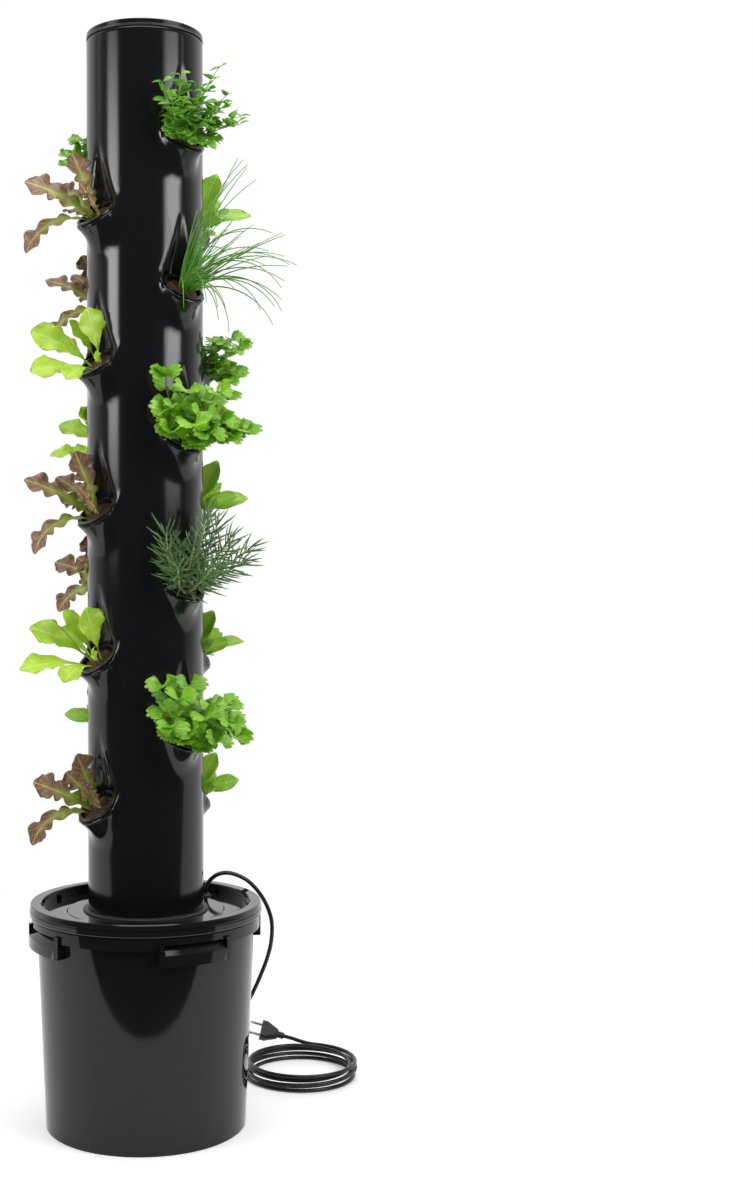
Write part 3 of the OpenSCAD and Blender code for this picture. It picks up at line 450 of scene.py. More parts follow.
def leaf(bm, base, az, a, b, length, width, shape, turn, *, lobes, depth, cup, rows, cols, thick,
         fan=0.0, blunt=0.0, crown=9.0, ruffle=0.0, waves=3, phase=0.0, twist=0.0):
    """A closed leaf: an upper and a lower skin that meet along the edge. It turns to the light by a share.

    The bays between its lobes grow shallow past crown, so the end lobe stays whole.
    """
    light, share = turn
    _, up, side = blade_frame(base, az, a, b, length, ROLL_AT)
    roll = share * math.atan2(side.dot(light), up.dot(light))
    uv = bm.loops.layers.uv.verify()
    top, low, st = [], [], {}
    for i in range(rows + 1):
        s = i / rows
        upper, under = [], []
        for j in range(-cols, cols + 1):
            t = j / cols
            far = s * (1 - fan * notch(1.5 * (t + 1)) - blunt * t * t * s)
            p, up, side = blade_frame(base, az, a, b, length, far)
            w = roll * min(1, ROLL_SPEED * s) + math.radians(twist) * s
            up, side = up * math.cos(w) + side * math.sin(w), side * math.cos(w) - up * math.sin(w)
            half = width / 2 * shape(s)
            # The two sides differ, as they do on a grown leaf
            uneven = 0.3 * math.sin(8 * s + 9 * phase + (1.7 if t > 0 else 0))
            whole = min(1, max(CROWN_SHARE, (crown - s) / CROWN_FADE))
            bite = 1 - depth * notch(lobes * s + phase + uneven) * abs(t) * min(1, 3 * s) * whole
            wave = math.sin(2 * math.pi * waves * s + 7 * phase + (2.1 if t > 0 else 0))
            rise = cup * half * t * t + ruffle * shape(s) * abs(t) ** 1.5 * wave
            q = p + side * (t * half * bite) + up * rise
            v = bm.verts.new(q)
            st[v] = ((t + 1) / 2, s)
            upper.append(v)
            if abs(j) == cols or i in (0, rows):
                under.append(v)
            else:
                u = bm.verts.new(q - up * thick * (1 - 0.4 * t * t))
                st[u] = st[v]
                under.append(u)
        top.append(upper)
        low.append(under)
    faces = []
    for i in range(rows):
        for j in range(2 * cols):
            faces.append(bm.faces.new((top[i][j], top[i][j + 1], top[i + 1][j + 1], top[i + 1][j])))
            faces.append(bm.faces.new((low[i][j], low[i + 1][j], low[i + 1][j + 1], low[i][j + 1])))
    for f in faces:
        f.material_index = LEAF
        for loop in f.loops:
            loop[uv].uv = st[loop.vert]


def stem(bm, base, az, a, b, length, r0, r1, slot, steps=5, sides=5):
    pts = [blade_frame(base, az, a, b, length, i / steps)[0] for i in range(steps + 1)]
    tube(bm, pts, [r0 + (r1 - r0) * i / steps for i in range(steps + 1)], sides, slot)


def needle(bm, base, direction, length, r, bend):
    """A slim closed spindle that curves a little."""
    pts = [base + direction * (length * s) + bend * (length * s * s) for s in (0, 0.35, 0.75, 1)]
    tube(bm, pts, [r * 0.7, r, r * 0.8, r * 0.15], 4, LEAF)


# How deep stems stand in the fibre, and how far apart to the sides
ROOT_DEPTH, FOOT_SPREAD = 4, 10


def stem_foot(az, lean, rng):
    """Where a stem leaves the fibre: the more it leans, the further out."""
    x = lean / 4 - 8 + rng.uniform(-2, 2)
    deep = FIBRE_DROP + ROOT_DEPTH
    return Vector((x * math.cos(LEAN) - deep * math.sin(LEAN), FOOT_SPREAD * math.sin(az),
                   -x * math.sin(LEAN) - deep * math.cos(LEAN)))


FIBRE_SIDES, FIBRE_ROOM, FIBRE_CROWN = 28, 0.4, 1.2
STRANDS, STRAND_R = 60, 0.28


def fibre(bm, rng):
    """The clump of coir in the cup: a lumpy plug with loose strands on top."""
    top, foot = -FIBRE_DROP, CUP_WALL - CUP_LEN
    r0 = CUP_FOOT_R - CUP_WALL - FIBRE_ROOM
    r1 = r0 + CUP_TAPER * (top - foot)
    axis = Vector((math.sin(LEAN), 0, math.cos(LEAN)))
    ex, ey = Vector((math.cos(LEAN), 0, -math.sin(LEAN))), Vector((0, 1, 0))
    sides, rings = FIBRE_SIDES, []
    levels = ((0.5, foot), (1, foot + 1), (1, foot / 2), (1, top - 1.5),
              (0.93, top), (0.75, top), (0.5, top), (0.25, top))
    for share, z in levels:
        r = (r0 + CUP_TAPER * (z - foot)) * share
        ring = []
        for k in range(sides):
            w = 2 * math.pi * k / sides
            lift = rng.uniform(-0.9, 1.3) if z >= top - 0.1 else 0
            rr = r * (rng.uniform(0.95, 1.0) if share == 1 else rng.uniform(0.94, 1.04))
            ring.append(bm.verts.new(ex * (rr * math.cos(w)) + ey * (rr * math.sin(w)) + axis * (z + lift)))
        rings.append(ring)
    faces = []
    for lower, upper in zip(rings, rings[1:]):
        for k in range(sides):
            faces.append(bm.faces.new((lower[k], lower[(k + 1) % sides], upper[(k + 1) % sides], upper[k])))
    faces.append(bm.faces.new(rings[0][::-1]))
    middle = bm.verts.new(axis * (top + FIBRE_CROWN))
    for k in range(sides):
        faces.append(bm.faces.new((rings[-1][k], rings[-1][(k + 1) % sides], middle)))
    for f in faces:
        f.material_index = COIR
    for _ in range(STRANDS):
        w, r = rng.uniform(0, 2 * math.pi), r1 * math.sqrt(rng.random()) * 0.86
        turn = rng.uniform(0, 2 * math.pi)
        size = rng.uniform(4, 9)
        p = ex * (r * math.cos(w)) + ey * (r * math.sin(w)) + axis * (top + rng.uniform(0.2, 1.2))
        d = (ex * math.cos(turn) + ey * math.sin(turn)) * size
        arch = axis * rng.uniform(0.6, 2.2)
        pts = []
        for s in (0, 0.33, 0.67, 1):
            q = p + d * (s - 0.5) + arch * (4 * s * (1 - s))
            flat = q - axis * q.dot(axis)
            if flat.length > r1 - 1:
                q = q - flat * (1 - (r1 - 1) / flat.length)
            pts.append(q)
        tube(bm, pts, STRAND_R, 3, STRAND)


# Leaves of a rosette: turn from the side to the front, lean at the foot, lean at the tip, length, width
ROSETTES = {
    "red": (
        (2, 50, 80, 110, 48), (24, 22, 30, 94, 44), (-6, 66, 166, 112, 34), (-26, 36, 60, 82, 36),
        (62, 34, 72, 40, 27), (40, 32, 54, 54, 27), (-52, 50, 86, 64, 28),
    ),
    "green": (
        (2, 46, 80, 106, 48), (56, 22, 28, 86, 44), (8, 74, 112, 98, 40), (36, 66, 140, 64, 34),
        (22, 28, 42, 84, 34), (70, 40, 64, 32, 19), (-32, 40, 70, 82, 34),
    ),
    "spoon": (
        (8, 22, 32, 94, 36), (0, 46, 88, 98, 31), (-14, 34, 56, 66, 26), (28, 46, 84, 50, 21),
        (-42, 34, 56, 72, 25), (46, 40, 66, 50, 20), (20, 42, 76, 74, 23),
    ),
}
# Leaves of the back columns that turn away from the front: turn, lean at the foot, lean at the tip, share of size
FAR_LEAVES = ((4, 26, 44, 0.74), (26, 36, 66, 0.8), (48, 44, 84, 0.72), (14, 58, 104, 0.62), (60, 30, 50, 0.6))
SKY = Vector((0, 0, 1))


def blade(bm, rng, k, light, kind, az, a, b, size, width):
    base = stem_foot(az, a, rng)
    size, width = size * k * rng.uniform(0.92, 1.06), width * k * rng.uniform(0.94, 1.06)
    turn = (light, rng.uniform(0.62, 0.92))
    phase, twist = rng.random(), rng.uniform(-14, 14)
    if kind == "red":
        leaf(bm, base, az, a, b, size, width, OAK, turn, lobes=5, depth=0.66, blunt=0.05, crown=0.8,
             ruffle=3 * k, waves=4.4, cup=0.12, rows=40, cols=7, thick=0.6, phase=0.42 + 0.16 * phase, twist=twist)
    elif kind == "green":
        leaf(bm, base, az, a, b, size, width, LETTUCE, turn, lobes=5, depth=0.2, blunt=0.05, crown=0.86,
             ruffle=3 * k, waves=3.2, cup=0.16, rows=30, cols=6, thick=0.6, phase=phase, twist=twist)
    else:
        leaf(bm, base, az, a, b, size, width, SPOON, turn, lobes=5, depth=0.03, blunt=0.09, ruffle=0.9,
             waves=2, cup=0.2, rows=20, cols=4, thick=0.7, phase=phase, twist=twist)


def rosette(bm, rng, k, col, light, kind):
    side, sense = SIDEWAYS[col]
    table = ROSETTES[kind]
    for way, a, b, size, width in table:
        az = math.radians(side + sense * (way + rng.uniform(-5, 5)))
        blade(bm, rng, k, light, kind, az, a + rng.uniform(-3, 5), b + rng.uniform(-8, 8), size, width)
    if col in "cd":
        size, width = table[0][3:]
        for way, a, b, share in FAR_LEAVES:
            az = math.radians(-math.copysign(1, side) * (way + rng.uniform(-5, 5)))
            # Nothing shades these, so they lie flat to the sky
            blade(bm, rng, k, SKY, kind, az, a, b + rng.uniform(-8, 8), size * share, width * share)


CHIVES, CHIVE_FOOT_R, CHIVE_TIP_R = 58, 1.35, 0.45
UPRIGHT, UPRIGHT_GROWTH = 20, 1.22
FRONT, FRONT_GROWTH = 42, 0.88
# A few hang over the front of the mouth: turn and length
HANGING_CHIVES = ((62, 118), (74, 140), (88, 126))


def chives(bm, rng, k, col):
    side, sense = SIDEWAYS[col]

    def grow(base, az, a, b, length, steps):
        stem(bm, base, az, a, b, length, CHIVE_FOOT_R, CHIVE_TIP_R, LEAF, steps)

    for i in range(CHIVES):
        way = rng.uniform(-24, 70)
        az = math.radians(side + sense * way)
        grown = k * (FRONT_GROWTH if way > FRONT else 1)
        a = 5 + 53 * rng.random()
        if a < UPRIGHT:
            grown *= UPRIGHT_GROWTH
        base = stem_foot(az, a, rng)
        # Every third one bends over
        if i % 3:
            grow(base, az, a, a + rng.uniform(8, 44), rng.uniform(88, 168) * grown, 9)
        else:
            grow(base, az, a + 12, a + rng.uniform(84, 126), rng.uniform(116, 196) * grown, 12)
    for way, length in HANGING_CHIVES:
        az = math.radians(side + sense * way)
        a = 48 + rng.uniform(-4, 4)
        grow(stem_foot(az, a, rng), az, a, a + 118, length * k, 12)


def fan_stem(rng, i, count, half, jump, low, more):
    """Way and lean of a stem in a fan. The leans are dealt out in jumps, so that neighbours differ."""
    az = math.radians(-half + 2 * half * i / (count - 1) + rng.uniform(-4, 4))
    return az, low + more * ((i * jump) % count) / (count - 1)


def held_up(a, az, most, loss):
    """A lean of at most so many degrees, and of fewer away from the middle of the fan."""
    return min(a, most - loss * abs(math.degrees(az)))


HERB_STEMS, HERB_FAN, HERB_JUMP, YOUNG_LEAVES = 17, 62, 7, 16
LEAST_LEAN, MINT_LEANS, PARSLEY_LEANS = 22, 40, 58
MINT_UPRIGHT, MINT_GROWTH = 40, 1.22
# Parsley grows less past this way, in radians
PARSLEY_SIDE, PARSLEY_SIDE_GROWTH, PARSLEY_GROWTH = 0.2, 0.76, 0.9
# Pairs of leaves on a mint stem: share of its length, size
MINT_PAIRS = ((1.0, 13), (0.84, 17), (0.66, 18), (0.50, 16), (0.36, 13), (0.26, 10))
# Leaflets on a parsley stem: share of its length, share of size
PARSLEY_LEAFLETS = ((1.0, 1), (0.80, 0.95), (0.60, 0.9), (0.42, 0.75))


def herb(bm, rng, k, light, mint):
    """Leafy stems with three-lobed leaflets, or with crossed pairs of round leaves."""
    for i in range(HERB_STEMS):
        leans = MINT_LEANS if mint else PARSLEY_LEANS
        az, a = fan_stem(rng, i, HERB_STEMS, HERB_FAN, HERB_JUMP, LEAST_LEAN, leans)
        a = held_up(a, az, 78, 0.25)
        bend = rng.uniform(8, 30)
        base = stem_foot(az, a, rng)
        reach = (56 + 42 * rng.random()) * k
        if mint and a < MINT_UPRIGHT:
            reach *= MINT_GROWTH
        elif not mint:
            reach *= PARSLEY_SIDE_GROWTH if az > PARSLEY_SIDE else PARSLEY_GROWTH
        stem(bm, base, az, a, a + bend, reach, 0.9, 0.55, STALK)
        if mint:
            for level, size in MINT_PAIRS:
                p = blade_frame(base, az, a, a + bend, reach, level)[0]
                way = az + (i + round(level * 6)) * math.pi / 2
                for half in (0, math.pi):
                    tilt = 62 + rng.uniform(-16, 16)
                    leaf(bm, p, way + half, tilt, tilt + 34, size * k * 1.2, size * k, ROUND,
                         (light, rng.uniform(0.2, 0.7)), lobes=4, depth=0.10, cup=0.2, rows=6, cols=2, thick=0.4,
                         phase=rng.random())
        else:
            for level, size in PARSLEY_LEAFLETS:
                p = blade_frame(base, az, a, a + bend, reach, level)[0]
                for way in ((0, 70, -70) if level == 1 else (74, -74)):
                    w = 0.5 * az + math.radians(way + rng.uniform(-14, 14))
                    tilt = 58 + rng.uniform(-12, 26)
                    leaf(bm, p, w, tilt, tilt + 34, 25 * k * size, 26 * k * size, FAN,
                         (light, rng.uniform(0.6, 0.95)), lobes=2.4, depth=0.16, fan=0.17, blunt=0.3, ruffle=0.8,
                         waves=1.4, cup=0.16, rows=8, cols=6, thick=0.45, phase=rng.random() * 0.2,
                         twist=rng.uniform(-14, 14))
    # Low young leaves round the foot
    for _ in range(YOUNG_LEAVES):
        az = math.radians(rng.uniform(-HERB_FAN, HERB_FAN))
        a = held_up(rng.uniform(40, 90), az, 84, 0.4)
        base = stem_foot(az, a, rng)
        reach = rng.uniform(24, 46) * k
        stem(bm, base, az, a, a + 12, reach, 0.7, 0.45, STALK, steps=3, sides=4)
        p = blade_frame(base, az, a, a + 12, reach, 1)[0]
        for way in (0, 66, -66):
            leaf(bm, p, 0.6 * az + math.radians(way), a + 24, a + 60, 19 * k, 20 * k, FAN,
                 (light, rng.uniform(0.5, 0.9)), lobes=2, depth=0.14, fan=0.16, blunt=0.3, ruffle=0.6, waves=1.5,
                 cup=0.2, rows=6, cols=6, thick=0.4)


ROSEMARY_STEMS, ROSEMARY_FAN, ROSEMARY_JUMP = 13, 64, 5
ROSEMARY_UPRIGHT, ROSEMARY_GROWTH = 46, 1.25
# Rosemary grows less before this way, in radians
ROSEMARY_SIDE, ROSEMARY_SIDE_GROWTH = -0.3, 0.84
NEEDLES, NEEDLE_R, NEEDLE_TURN, BARE_FOOT = 34, 1.25, 2.4, 0.12


def rosemary(bm, rng, k):
    for i in range(ROSEMARY_STEMS):
        az, a = fan_stem(rng, i, ROSEMARY_STEMS, ROSEMARY_FAN, ROSEMARY_JUMP, 24, 50)
        a = held_up(a, az, 76, 0.3)
        bend = rng.uniform(-22, 4)
        base = stem_foot(az, a, rng)
        reach = (78 + 30 * rng.random()) * k
        if az < ROSEMARY_SIDE:
            reach *= ROSEMARY_SIDE_GROWTH
        elif a < ROSEMARY_UPRIGHT:
            reach *= ROSEMARY_GROWTH
        stem(bm, base, az, a, a + bend, reach, 1.7, 1.0, STALK, steps=6)
        for n in range(NEEDLES):
            s = BARE_FOOT + (1 - BARE_FOOT) * n / (NEEDLES - 1)
            p, up, side = blade_frame(base, az, a, a + bend, reach, s)
            ahead = (blade_frame(base, az, a, a + bend, reach, min(s + 0.02, 1.02))[0] - p).normalized()
            w = n * NEEDLE_TURN + rng.uniform(-0.3, 0.3)
            out = up * math.cos(w) + side * math.sin(w)
            # Needles close up round the tip
            open_up = 0.95 - 0.55 * max(0, (s - 0.8) / 0.2)
            d = (ahead * (1 - 0.45 * open_up) + out * open_up).normalized()
            size = rng.uniform(22, 31) * k * (0.75 if s > 0.95 else 1)
            needle(bm, p, d, size, NEEDLE_R, ahead * 0.35 + Vector((0, 0, -0.12)))


PLANTING = {
    "a": ("mint", "chives", "parsley", "rosemary", "parsley"),
    "b": ("red", "green", "red", "green", "red"),
    "c": ("parsley", "red", "green", "red", "spoon"),
    "d": ("spoon", "parsley", "spoon", "spoon", "spoon"),
}
SIZE = {
    "a": (0.95, 1, 1.1, 1, 1.05),
    "b": (1, 0.92, 0.98, 1, 0.9),
    "c": (0.75, 0.9, 0.8, 0.85, 0.7),
    "d": (0.95, 0.9, 0.95, 0.85, 0.75),
}
LOOK = {
    "mint": mint_leaf, "parsley": herb_leaf, "chives": grass_leaf, "rosemary": needle_leaf,
    "red": red_leaf, "green": green_leaf, "spoon": spoon_leaf,
}
LIGHT_RISE = 0.45

greens = []
for col in "abcd":
    turn = math.radians(COLUMN_ANGLE[col])
    # Leaves turn to the light, which comes from the front and from above
    light = Vector((-math.sin(turn), -math.cos(turn), LIGHT_RISE)).normalized()
    for row in range(1, ROWS + 1):
        kind, k = PLANTING[col][row - 1], SIZE[col][row - 1]
        rng = random.Random(f"{col}{row}")
        bm = bmesh.new()
        fibre(bm, rng)
        if kind in ROSETTES:
            rosette(bm, rng, k, col, light, kind)
        elif kind == "chives":
            chives(bm, rng, k, col)
        elif kind == "rosemary":
            rosemary(bm, rng, k)
        else:
            herb(bm, rng, k, light, kind == "mint")
        z = mouth_z(col, row)
        for v in bm.verts:
            x = v.co.x + MOUTH_RHO
            v.co = Vector((x * math.cos(turn) - v.co.y * math.sin(turn),
                           x * math.sin(turn) + v.co.y * math.cos(turn), v.co.z + z))
        stalk = wood_mat if kind == "rosemary" else stalk_mat
        plant = mesh_object(f"greens_{col}{row}", bm, [LOOK[kind], stalk, coir_mat, coir_strand])
        greens.append(plant)
        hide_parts(f"plant_{col}{row}")
        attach(plant, f"cup_{col}{row}")


# Sloped ledge in each hand grip, from the pail's wall down to the strap: radius and height of its corners
LEDGE = ((151.2, 281.2), (161.9, 270.5), (160.2, 269), (150.2, 279.2))
GRIPS, GRIP_ANGLE, GRIP_HALF, LEDGE_STEPS = 4, 295, 16, 24
for i in range(GRIPS):
    bm = bmesh.new()
    rings = []
    for k in range(LEDGE_STEPS + 1):
        w = math.radians(GRIP_ANGLE + 360 // GRIPS * i + GRIP_HALF * (k / (LEDGE_STEPS / 2) - 1))
        rings.append([bm.verts.new((r * math.cos(w), r * math.sin(w), z)) for r, z in LEDGE])
    for a, b in zip(rings, rings[1:]):
        for k in range(len(LEDGE)):
            n = (k + 1) % len(LEDGE)
            bm.faces.new((a[k], a[n], b[n], b[k]))
    bm.faces.new(rings[0][::-1])
    bm.faces.new(rings[-1])
    ledge = mesh_object(f"grip_ledge_{i + 1}", bm, [pail_mat], smooth=False)
    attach(ledge, "reservoir")


# Formed pipe: one sheet that swells out under each mouth and is pressed in over it
PIPE_R, PIPE_WALL, PIPE_LOW, PIPE_TOP = 80, 4, 7, 1495
ARCH_HALF, ARCH_RISE = 20, 30
# Radii at the mouth, square to the cup's axis, of the lip, the sleeve and the hole. The dent's is level
LIP_R, SLEEVE_R, HOLE_R, DENT_R = 32.2, 29.8, 26.8, 30.4
LIP_DROP, RIM_FADE = 0.2, 5
# The dent narrows to nothing at this height over the mouth. The cosine of its slope turns width into distance
DENT_RISE, DENT_SLOPE = 88, 0.94
HOLE_MIDDLE, HOLE_HALF = 24, 28
# The heat leaves more of the sheet round the lip
LIP_WALL, LIP_FADE = 2, 15
LIP_ROUND, EDGE_ROUND, PRESS_ROUND, DENT_ROUND, SWELL_ROUND, MOUTH_ROUND = 2.5, 1.5, 5, 11, 16, 2


def soft_max(a, b, k):
    h = np.maximum(k - np.abs(a - b), 0) / k
    return np.maximum(a, b) + h * h * k / 4


def soft_min(a, b, k):
    return -soft_max(-a, -b, k)


def pipe_skin(x, y, z):
    """Distance from the outer side of the formed sheet, its thickness, and distance from a mouth's hole, in mm."""
    r = np.hypot(x, y)
    angle = np.degrees(np.arctan2(y, x)) - COLUMN_ANGLE["d"]
    column = np.round(angle / 90)
    angle = np.radians(angle - 90 * column)
    lowest = FIRST_Z + (column % 2) * PITCH / 2
    row = np.clip(np.round((z - lowest) / PITCH), 0, ROWS - 1)
    h = np.clip(z - lowest - row * PITCH, -PITCH / 2, PITCH / 2)
    u, v = r * np.cos(angle) - MOUTH_RHO, r * np.sin(angle)
    along = u * math.sin(LEAN) + h * math.cos(LEAN)
    off = np.hypot(u * math.cos(LEAN) - h * math.sin(LEAN), v)
    rim = np.exp(np.minimum(along, 0) / RIM_FADE)
    lip = soft_max(off - LIP_R - CUP_TAPER * along - rim, along + LIP_DROP, LIP_ROUND)
    dent = soft_max((np.hypot(u, v) - DENT_R * (1 - h / DENT_RISE)) * DENT_SLOPE, -along, EDGE_ROUND)
    sleeve = soft_max(off - SLEEVE_R, -along, EDGE_ROUND)
    press = soft_min(dent, sleeve, PRESS_ROUND)
    skin = soft_min(soft_max(r - PIPE_R, -press, DENT_ROUND), lip, SWELL_ROUND)
    skin = soft_max(skin, -press, MOUTH_ROUND)
    wall = PIPE_WALL + LIP_WALL * np.exp(-np.maximum(lip, 0) / LIP_FADE)
    hole = np.maximum(off - HOLE_R - CUP_TAPER * along, np.abs(along + HOLE_MIDDLE) - HOLE_HALF)
    return skin, wall, hole


def pipe_field(x, y, z):
    """Below 0 in the sheet of the pipe, in millimetres."""
    skin, wall, hole = pipe_skin(x, y, z)
    sheet = np.maximum(np.maximum(skin, -skin - wall), -hole)
    sheet = np.maximum(np.maximum(sheet, PIPE_LOW - z), z - PIPE_TOP)
    for side in (x, y):
        top = PIPE_LOW + ARCH_RISE
        arch = np.where(z < top, np.abs(side), np.hypot(side, z - top)) - ARCH_HALF
        sheet = np.maximum(sheet, -arch)
    return sheet


def surface_net(field, place):
    """Corners and quads of the surface where a field changes sign. The second axis runs round and closes."""
    field = np.concatenate([field[:, -1:], field, field[:, :1]], axis=1)
    place = np.concatenate([place[:, -1:], place, place[:, :1]], axis=1)
    solid = field < 0
    a, b, c = (s - 1 for s in field.shape)
    total, count = np.zeros((a, b, c, 3)), np.zeros((a, b, c))
    for axis in range(3):
        for p in (0, 1):
            for q in (0, 1):
                lo, hi = [p, q], [p, q]
                lo.insert(axis, 0)
                hi.insert(axis, 1)
                lo = tuple(slice(o, o + n) for o, n in zip(lo, (a, b, c)))
                hi = tuple(slice(o, o + n) for o, n in zip(hi, (a, b, c)))
                cross = solid[lo] != solid[hi]
                fa, fb = field[lo][cross], field[hi][cross]
                t = (fa / (fa - fb))[:, None]
                total[cross] += place[lo][cross] * (1 - t) + place[hi][cross] * t
                count[cross] += 1
    used = count > 0
    used[:, 0] = False
    index = np.full((a, b, c), -1)
    index[used] = np.arange(used.sum())
    index[:, 0] = index[:, b - 1]
    verts = total[used] / count[used][:, None]
    mid, quads = slice(1, b), []
    for now, nxt, cells, keep in (
        (solid[:-1, mid, 1:-1], solid[1:, mid, 1:-1],
         (index[:, :-1, :-1], index[:, 1:, :-1], index[:, 1:, 1:], index[:, :-1, 1:]), True),
        (solid[1:-1, mid, 1:-1], solid[1:-1, 2:, 1:-1],
         (index[:-1, 1:, :-1], index[1:, 1:, :-1], index[1:, 1:, 1:], index[:-1, 1:, 1:]), False),
        (solid[1:-1, mid, :-1], solid[1:-1, mid, 1:],
         (index[:-1, :-1], index[1:, :-1], index[1:, 1:], index[:-1, 1:]), True),
    ):
        cross = now != nxt
        quad = np.stack([x[cross] for x in cells], axis=1)
        flip = now[cross] != keep
        quad[flip] = quad[flip][:, ::-1]
        quads.append(quad)
    return verts, np.concatenate(quads)


# Least square of a slope, so that a flat place in a field moves no point far
LEAST_SLOPE = 0.3
SETTLE_STEP, SETTLE_MOST, SMOOTHINGS = 0.2, 0.8, 4
# Places of the net in a turn and in half a pitch, its radii, and how far it goes past the ends: steps, millimetres
NET_TURN, NET_STEP, NET_RADII, NET_BELOW, NET_ABOVE = 160, 34, (21.4, 113, 2.5), 2.5, 9
# How near to its radii the pipe is plain, and what stays plain at its foot and top
PLAIN_WITHIN, PLAIN_FOOT, PLAIN_TOP = 0.1, 60, 4


def settle(verts, free):
    """Moves points back onto the pipe's surface along the field's slope."""
    p = verts[free]
    value = pipe_field(*p.T)
    slope = np.empty_like(p)
    for axis in range(3):
        ahead = p.copy()
        ahead[:, axis] += SETTLE_STEP
        slope[:, axis] = (pipe_field(*ahead.T) - value) / SETTLE_STEP
    size = np.maximum((slope ** 2).sum(axis=1), LEAST_SLOPE)
    move = np.clip(value / size, -SETTLE_MOST, SETTLE_MOST)
    verts[free] = p - slope * move[:, None]


def formed_pipe():
    radii = np.arange(*NET_RADII)
    dz = PITCH / 2 / NET_STEP
    first = FIRST_Z - (FIRST_Z // dz + NET_BELOW) * dz
    z = first + np.arange(int((PIPE_TOP + NET_ABOVE - first) / dz)) * dz
    turn = np.radians(COLUMN_ANGLE["d"] - 45 + np.arange(NET_TURN) * 360 / NET_TURN)
    r, t, h = np.meshgrid(radii, turn, z, indexing="ij")
    place = np.stack([r * np.cos(t), r * np.sin(t), h], axis=-1)
    verts, quads = surface_net(pipe_field(place[..., 0], place[..., 1], h), place)
    # Only the formed places are smoothed, so the plain pipe stays true
    rho = np.hypot(verts[:, 0], verts[:, 1])
    formed = (np.abs(rho - PIPE_R) > PLAIN_WITHIN) & (np.abs(rho - PIPE_R + PIPE_WALL) > PLAIN_WITHIN)
    formed &= (verts[:, 2] > PIPE_LOW + PLAIN_FOOT) & (verts[:, 2] < PIPE_TOP - PLAIN_TOP)
    edges = np.concatenate([quads[:, [i, (i + 1) % 4]] for i in range(4)])
    edges = edges[formed[edges[:, 0]]]
    count = np.bincount(edges[:, 0], minlength=len(verts))
    for _ in range(SMOOTHINGS):
        near = np.stack([np.bincount(edges[:, 0], verts[edges[:, 1], i], len(verts)) for i in range(3)], axis=1)
        verts[formed] += 0.5 * (near[formed] / count[formed, None] - verts[formed])
        settle(verts, formed)
    data = bpy.data.meshes.new("formed_pipe")
    data.from_pydata((verts * MM).tolist(), [], quads.tolist())
    data.polygons.foreach_set("use_smooth", [True] * len(data.polygons))
    data.materials.append(pipe_mat)
    return link(bpy.data.objects.new("formed_pipe", data))


LEAF_ROOM, CLEAR_ROUNDS, CLEAR_STEP = 0.8, 4, 0.05


def clear_of_pipe(piece):
    """Bends what would cut into the sheet out of it."""
    flat = np.empty(3 * len(piece.data.vertices))
    piece.data.vertices.foreach_get("co", flat)
    p = flat.reshape(-1, 3) / MM
    skin, _, hole = pipe_skin(*p.T)
    near = (skin < LEAF_ROOM) & (hole > -LEAF_ROOM) & (pipe_field(*p.T) < LEAF_ROOM)
    for _ in range(CLEAR_ROUNDS):
        q = p[near]
        skin = pipe_skin(*q.T)[0]
        ahead = [pipe_skin(*(q + step).T)[0] for step in CLEAR_STEP * np.eye(3)]
        slope = np.stack([(a - skin) / CLEAR_STEP for a in ahead], axis=1)
        move = np.maximum(LEAF_ROOM - skin, 0) / np.maximum((slope ** 2).sum(axis=1), LEAST_SLOPE)
        p[near] = q + slope * move[:, None]
    piece.data.vertices.foreach_set("co", (p * MM).ravel())
    piece.data.update()


for piece in greens:
    clear_of_pipe(piece)
pipe = formed_pipe()
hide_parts("tower_tube")
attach(pipe, "tower")


# Floor, in metres
FLOOR_WIDE, FLOOR_EDGE = 9.0, -0.55
FLOOR_GLOW, FLOOR_FADE = 0.34, (0.6, 1.8)


def floor_material():
    """White paper that keeps the shadow near the object and runs out to plain white."""
    m, tree, b = material("floor_paper")
    v = coords(tree)
    tree.links.new(clouded(tree, noise(tree, v, 3), (0.83, 0.83, 0.83), (0.86, 0.86, 0.86)), b.inputs["Base Color"])
    b.inputs["Roughness"].default_value = 0.9
    b.inputs["Specular IOR Level"].default_value = 0.1
    b.inputs["Emission Color"].default_value = (1, 1, 1, 1)
    ray = add(tree, "LightPath").outputs
    seen = largest(tree, ray["Is Camera Ray"], ray["Is Glossy Ray"], ray["Is Transmission Ray"])
    tree.links.new(calc(tree, "MULTIPLY", seen, FLOOR_GLOW), b.inputs["Emission Strength"])
    reach = add(tree, "VectorMath", operation="LENGTH")
    tree.links.new(v, reach.inputs[0])
    far = remap(tree, reach.outputs["Value"], *FLOOR_FADE, kind="SMOOTHSTEP")
    both = add(tree, "MixShader")
    tree.links.new(calc(tree, "MULTIPLY", far, seen), both.inputs[0])
    tree.links.new(b.outputs[0], both.inputs[1])
    tree.links.new(add(tree, "Emission").outputs[0], both.inputs[2])
    tree.links.new(both.outputs[0], tree.nodes["Material Output"].inputs["Surface"])
    return m


def ground(name, near, far, mat):
    data = bpy.data.meshes.new(name)
    corners = [(-FLOOR_WIDE, near, 0), (FLOOR_WIDE, near, 0), (FLOOR_WIDE, far, 0), (-FLOOR_WIDE, far, 0)]
    data.from_pydata(corners, [], [(0, 1, 2, 3)])
    data.materials.append(mat)
    o = link(bpy.data.objects.new(name, data))
    return o


paper = floor_material()
ground("floor", FLOOR_EDGE, FLOOR_WIDE, paper)
# In front of the sheet the room is dark where the gloss mirrors it
ground("floor_front", -FLOOR_WIDE, FLOOR_EDGE, paper).visible_glossy = False

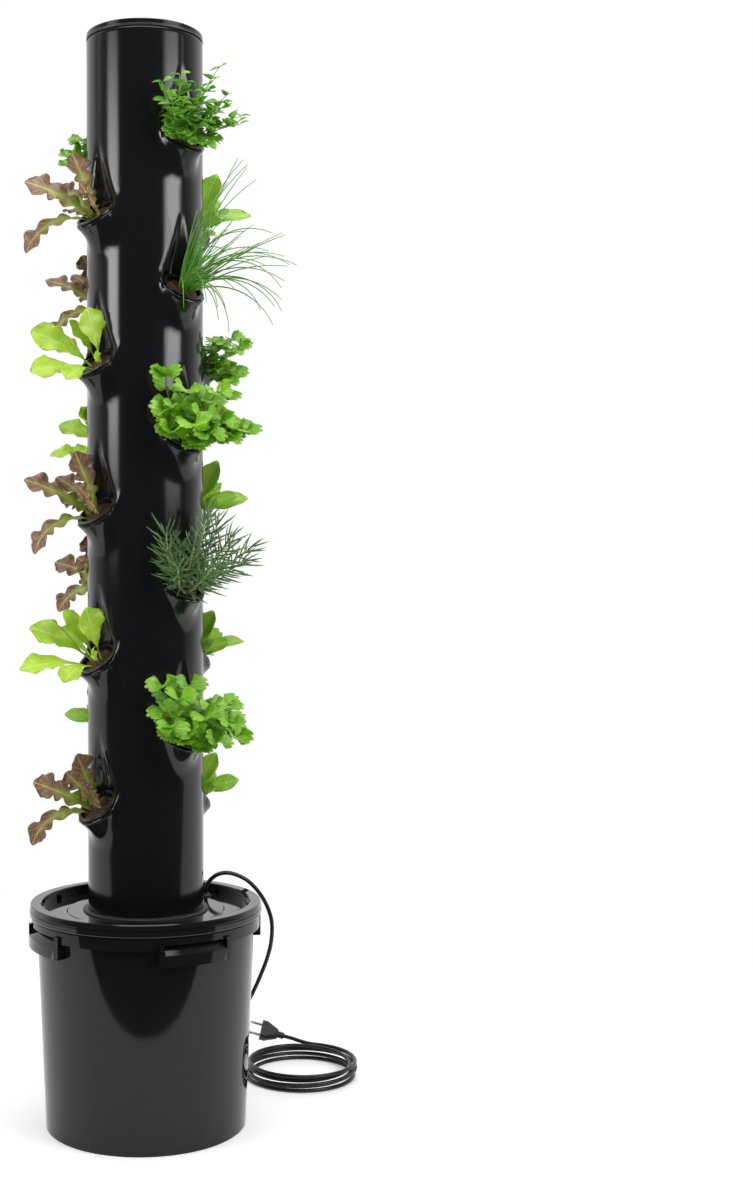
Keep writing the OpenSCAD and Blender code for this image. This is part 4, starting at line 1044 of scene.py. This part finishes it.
# World: grey of the room from the front, 0, to the back, 1
ROOM = ((0.0, 0.02), (0.4, 0.06), (0.75, 0.8), (1.0, 1.0))
BEHIND = (0.6, 0.9)
WHITE = (1, 1, 1)
world = bpy.data.worlds.new("studio")
scene.world = world
world.use_nodes = True
tree = world.node_tree
depth = remap(tree, split(tree, add(tree, "TexCoord").outputs["Generated"])["Y"], -1, 1)
room = ramp(tree, depth, *((at, (grey, grey, grey)) for at, grey in ROOM))
# The background is white to the camera, and behind the object it is white to gloss and glass too
behind = remap(tree, depth, *BEHIND, kind="SMOOTHSTEP")
ray = add(tree, "LightPath").outputs
mirrored = calc(tree, "MULTIPLY", largest(tree, ray["Is Glossy Ray"], ray["Is Transmission Ray"]), behind)
white = largest(tree, ray["Is Camera Ray"], mirrored)
back = tree.nodes["Background"]
tree.links.new(mix(tree, white, room, WHITE), back.inputs["Color"])
back.inputs["Strength"].default_value = 1.0


# Lamps
def softbox(name, place, aim, size, power, edge):
    """An area lamp that fades out towards its edges, as a diffuser does."""
    data = bpy.data.lights.new(name, "AREA")
    data.shape = "RECTANGLE"
    data.size, data.size_y = size
    data.energy = power
    data.use_nodes = True
    tree = data.node_tree
    spot = split(tree, add(tree, "NewGeometry").outputs["Parametric"])
    fade = [remap(tree, calc(tree, "PINGPONG", spot[way], 0.5), 0, reach, kind="SMOOTHSTEP")
            for way, reach in zip("XY", edge)]
    tree.links.new(calc(tree, "MULTIPLY", *fade), tree.nodes["Emission"].inputs["Strength"])
    o = link(bpy.data.objects.new(name, data))
    o.location = place
    o.rotation_euler = (Vector(aim) - Vector(place)).to_track_quat("-Z", "Y").to_euler()
    return o


RIGHT_BOX = {"place": (1.38, -0.96, 1.5), "aim": (0, 0, 1.25), "size": (1.35, 1.5), "edge": (0.3, 0.45)}
softbox("box_left", place=(-1.5, -0.72, 1.45), aim=(0, 0, 1.2), size=(0.9, 1.5), power=40, edge=(0.3, 0.45))
softbox("box_right", power=56, **RIGHT_BOX)
# Strengthens the sheen alone, so that the leaves keep their colour
shine = softbox("box_right_shine", power=50, **RIGHT_BOX)
shine.visible_diffuse = False
shine.visible_transmission = False
softbox("box_top", place=(0.0, -0.4, 3.2), aim=(0, 0, 0.5), size=(2.4, 2.4), power=70, edge=(0.2, 0.2))
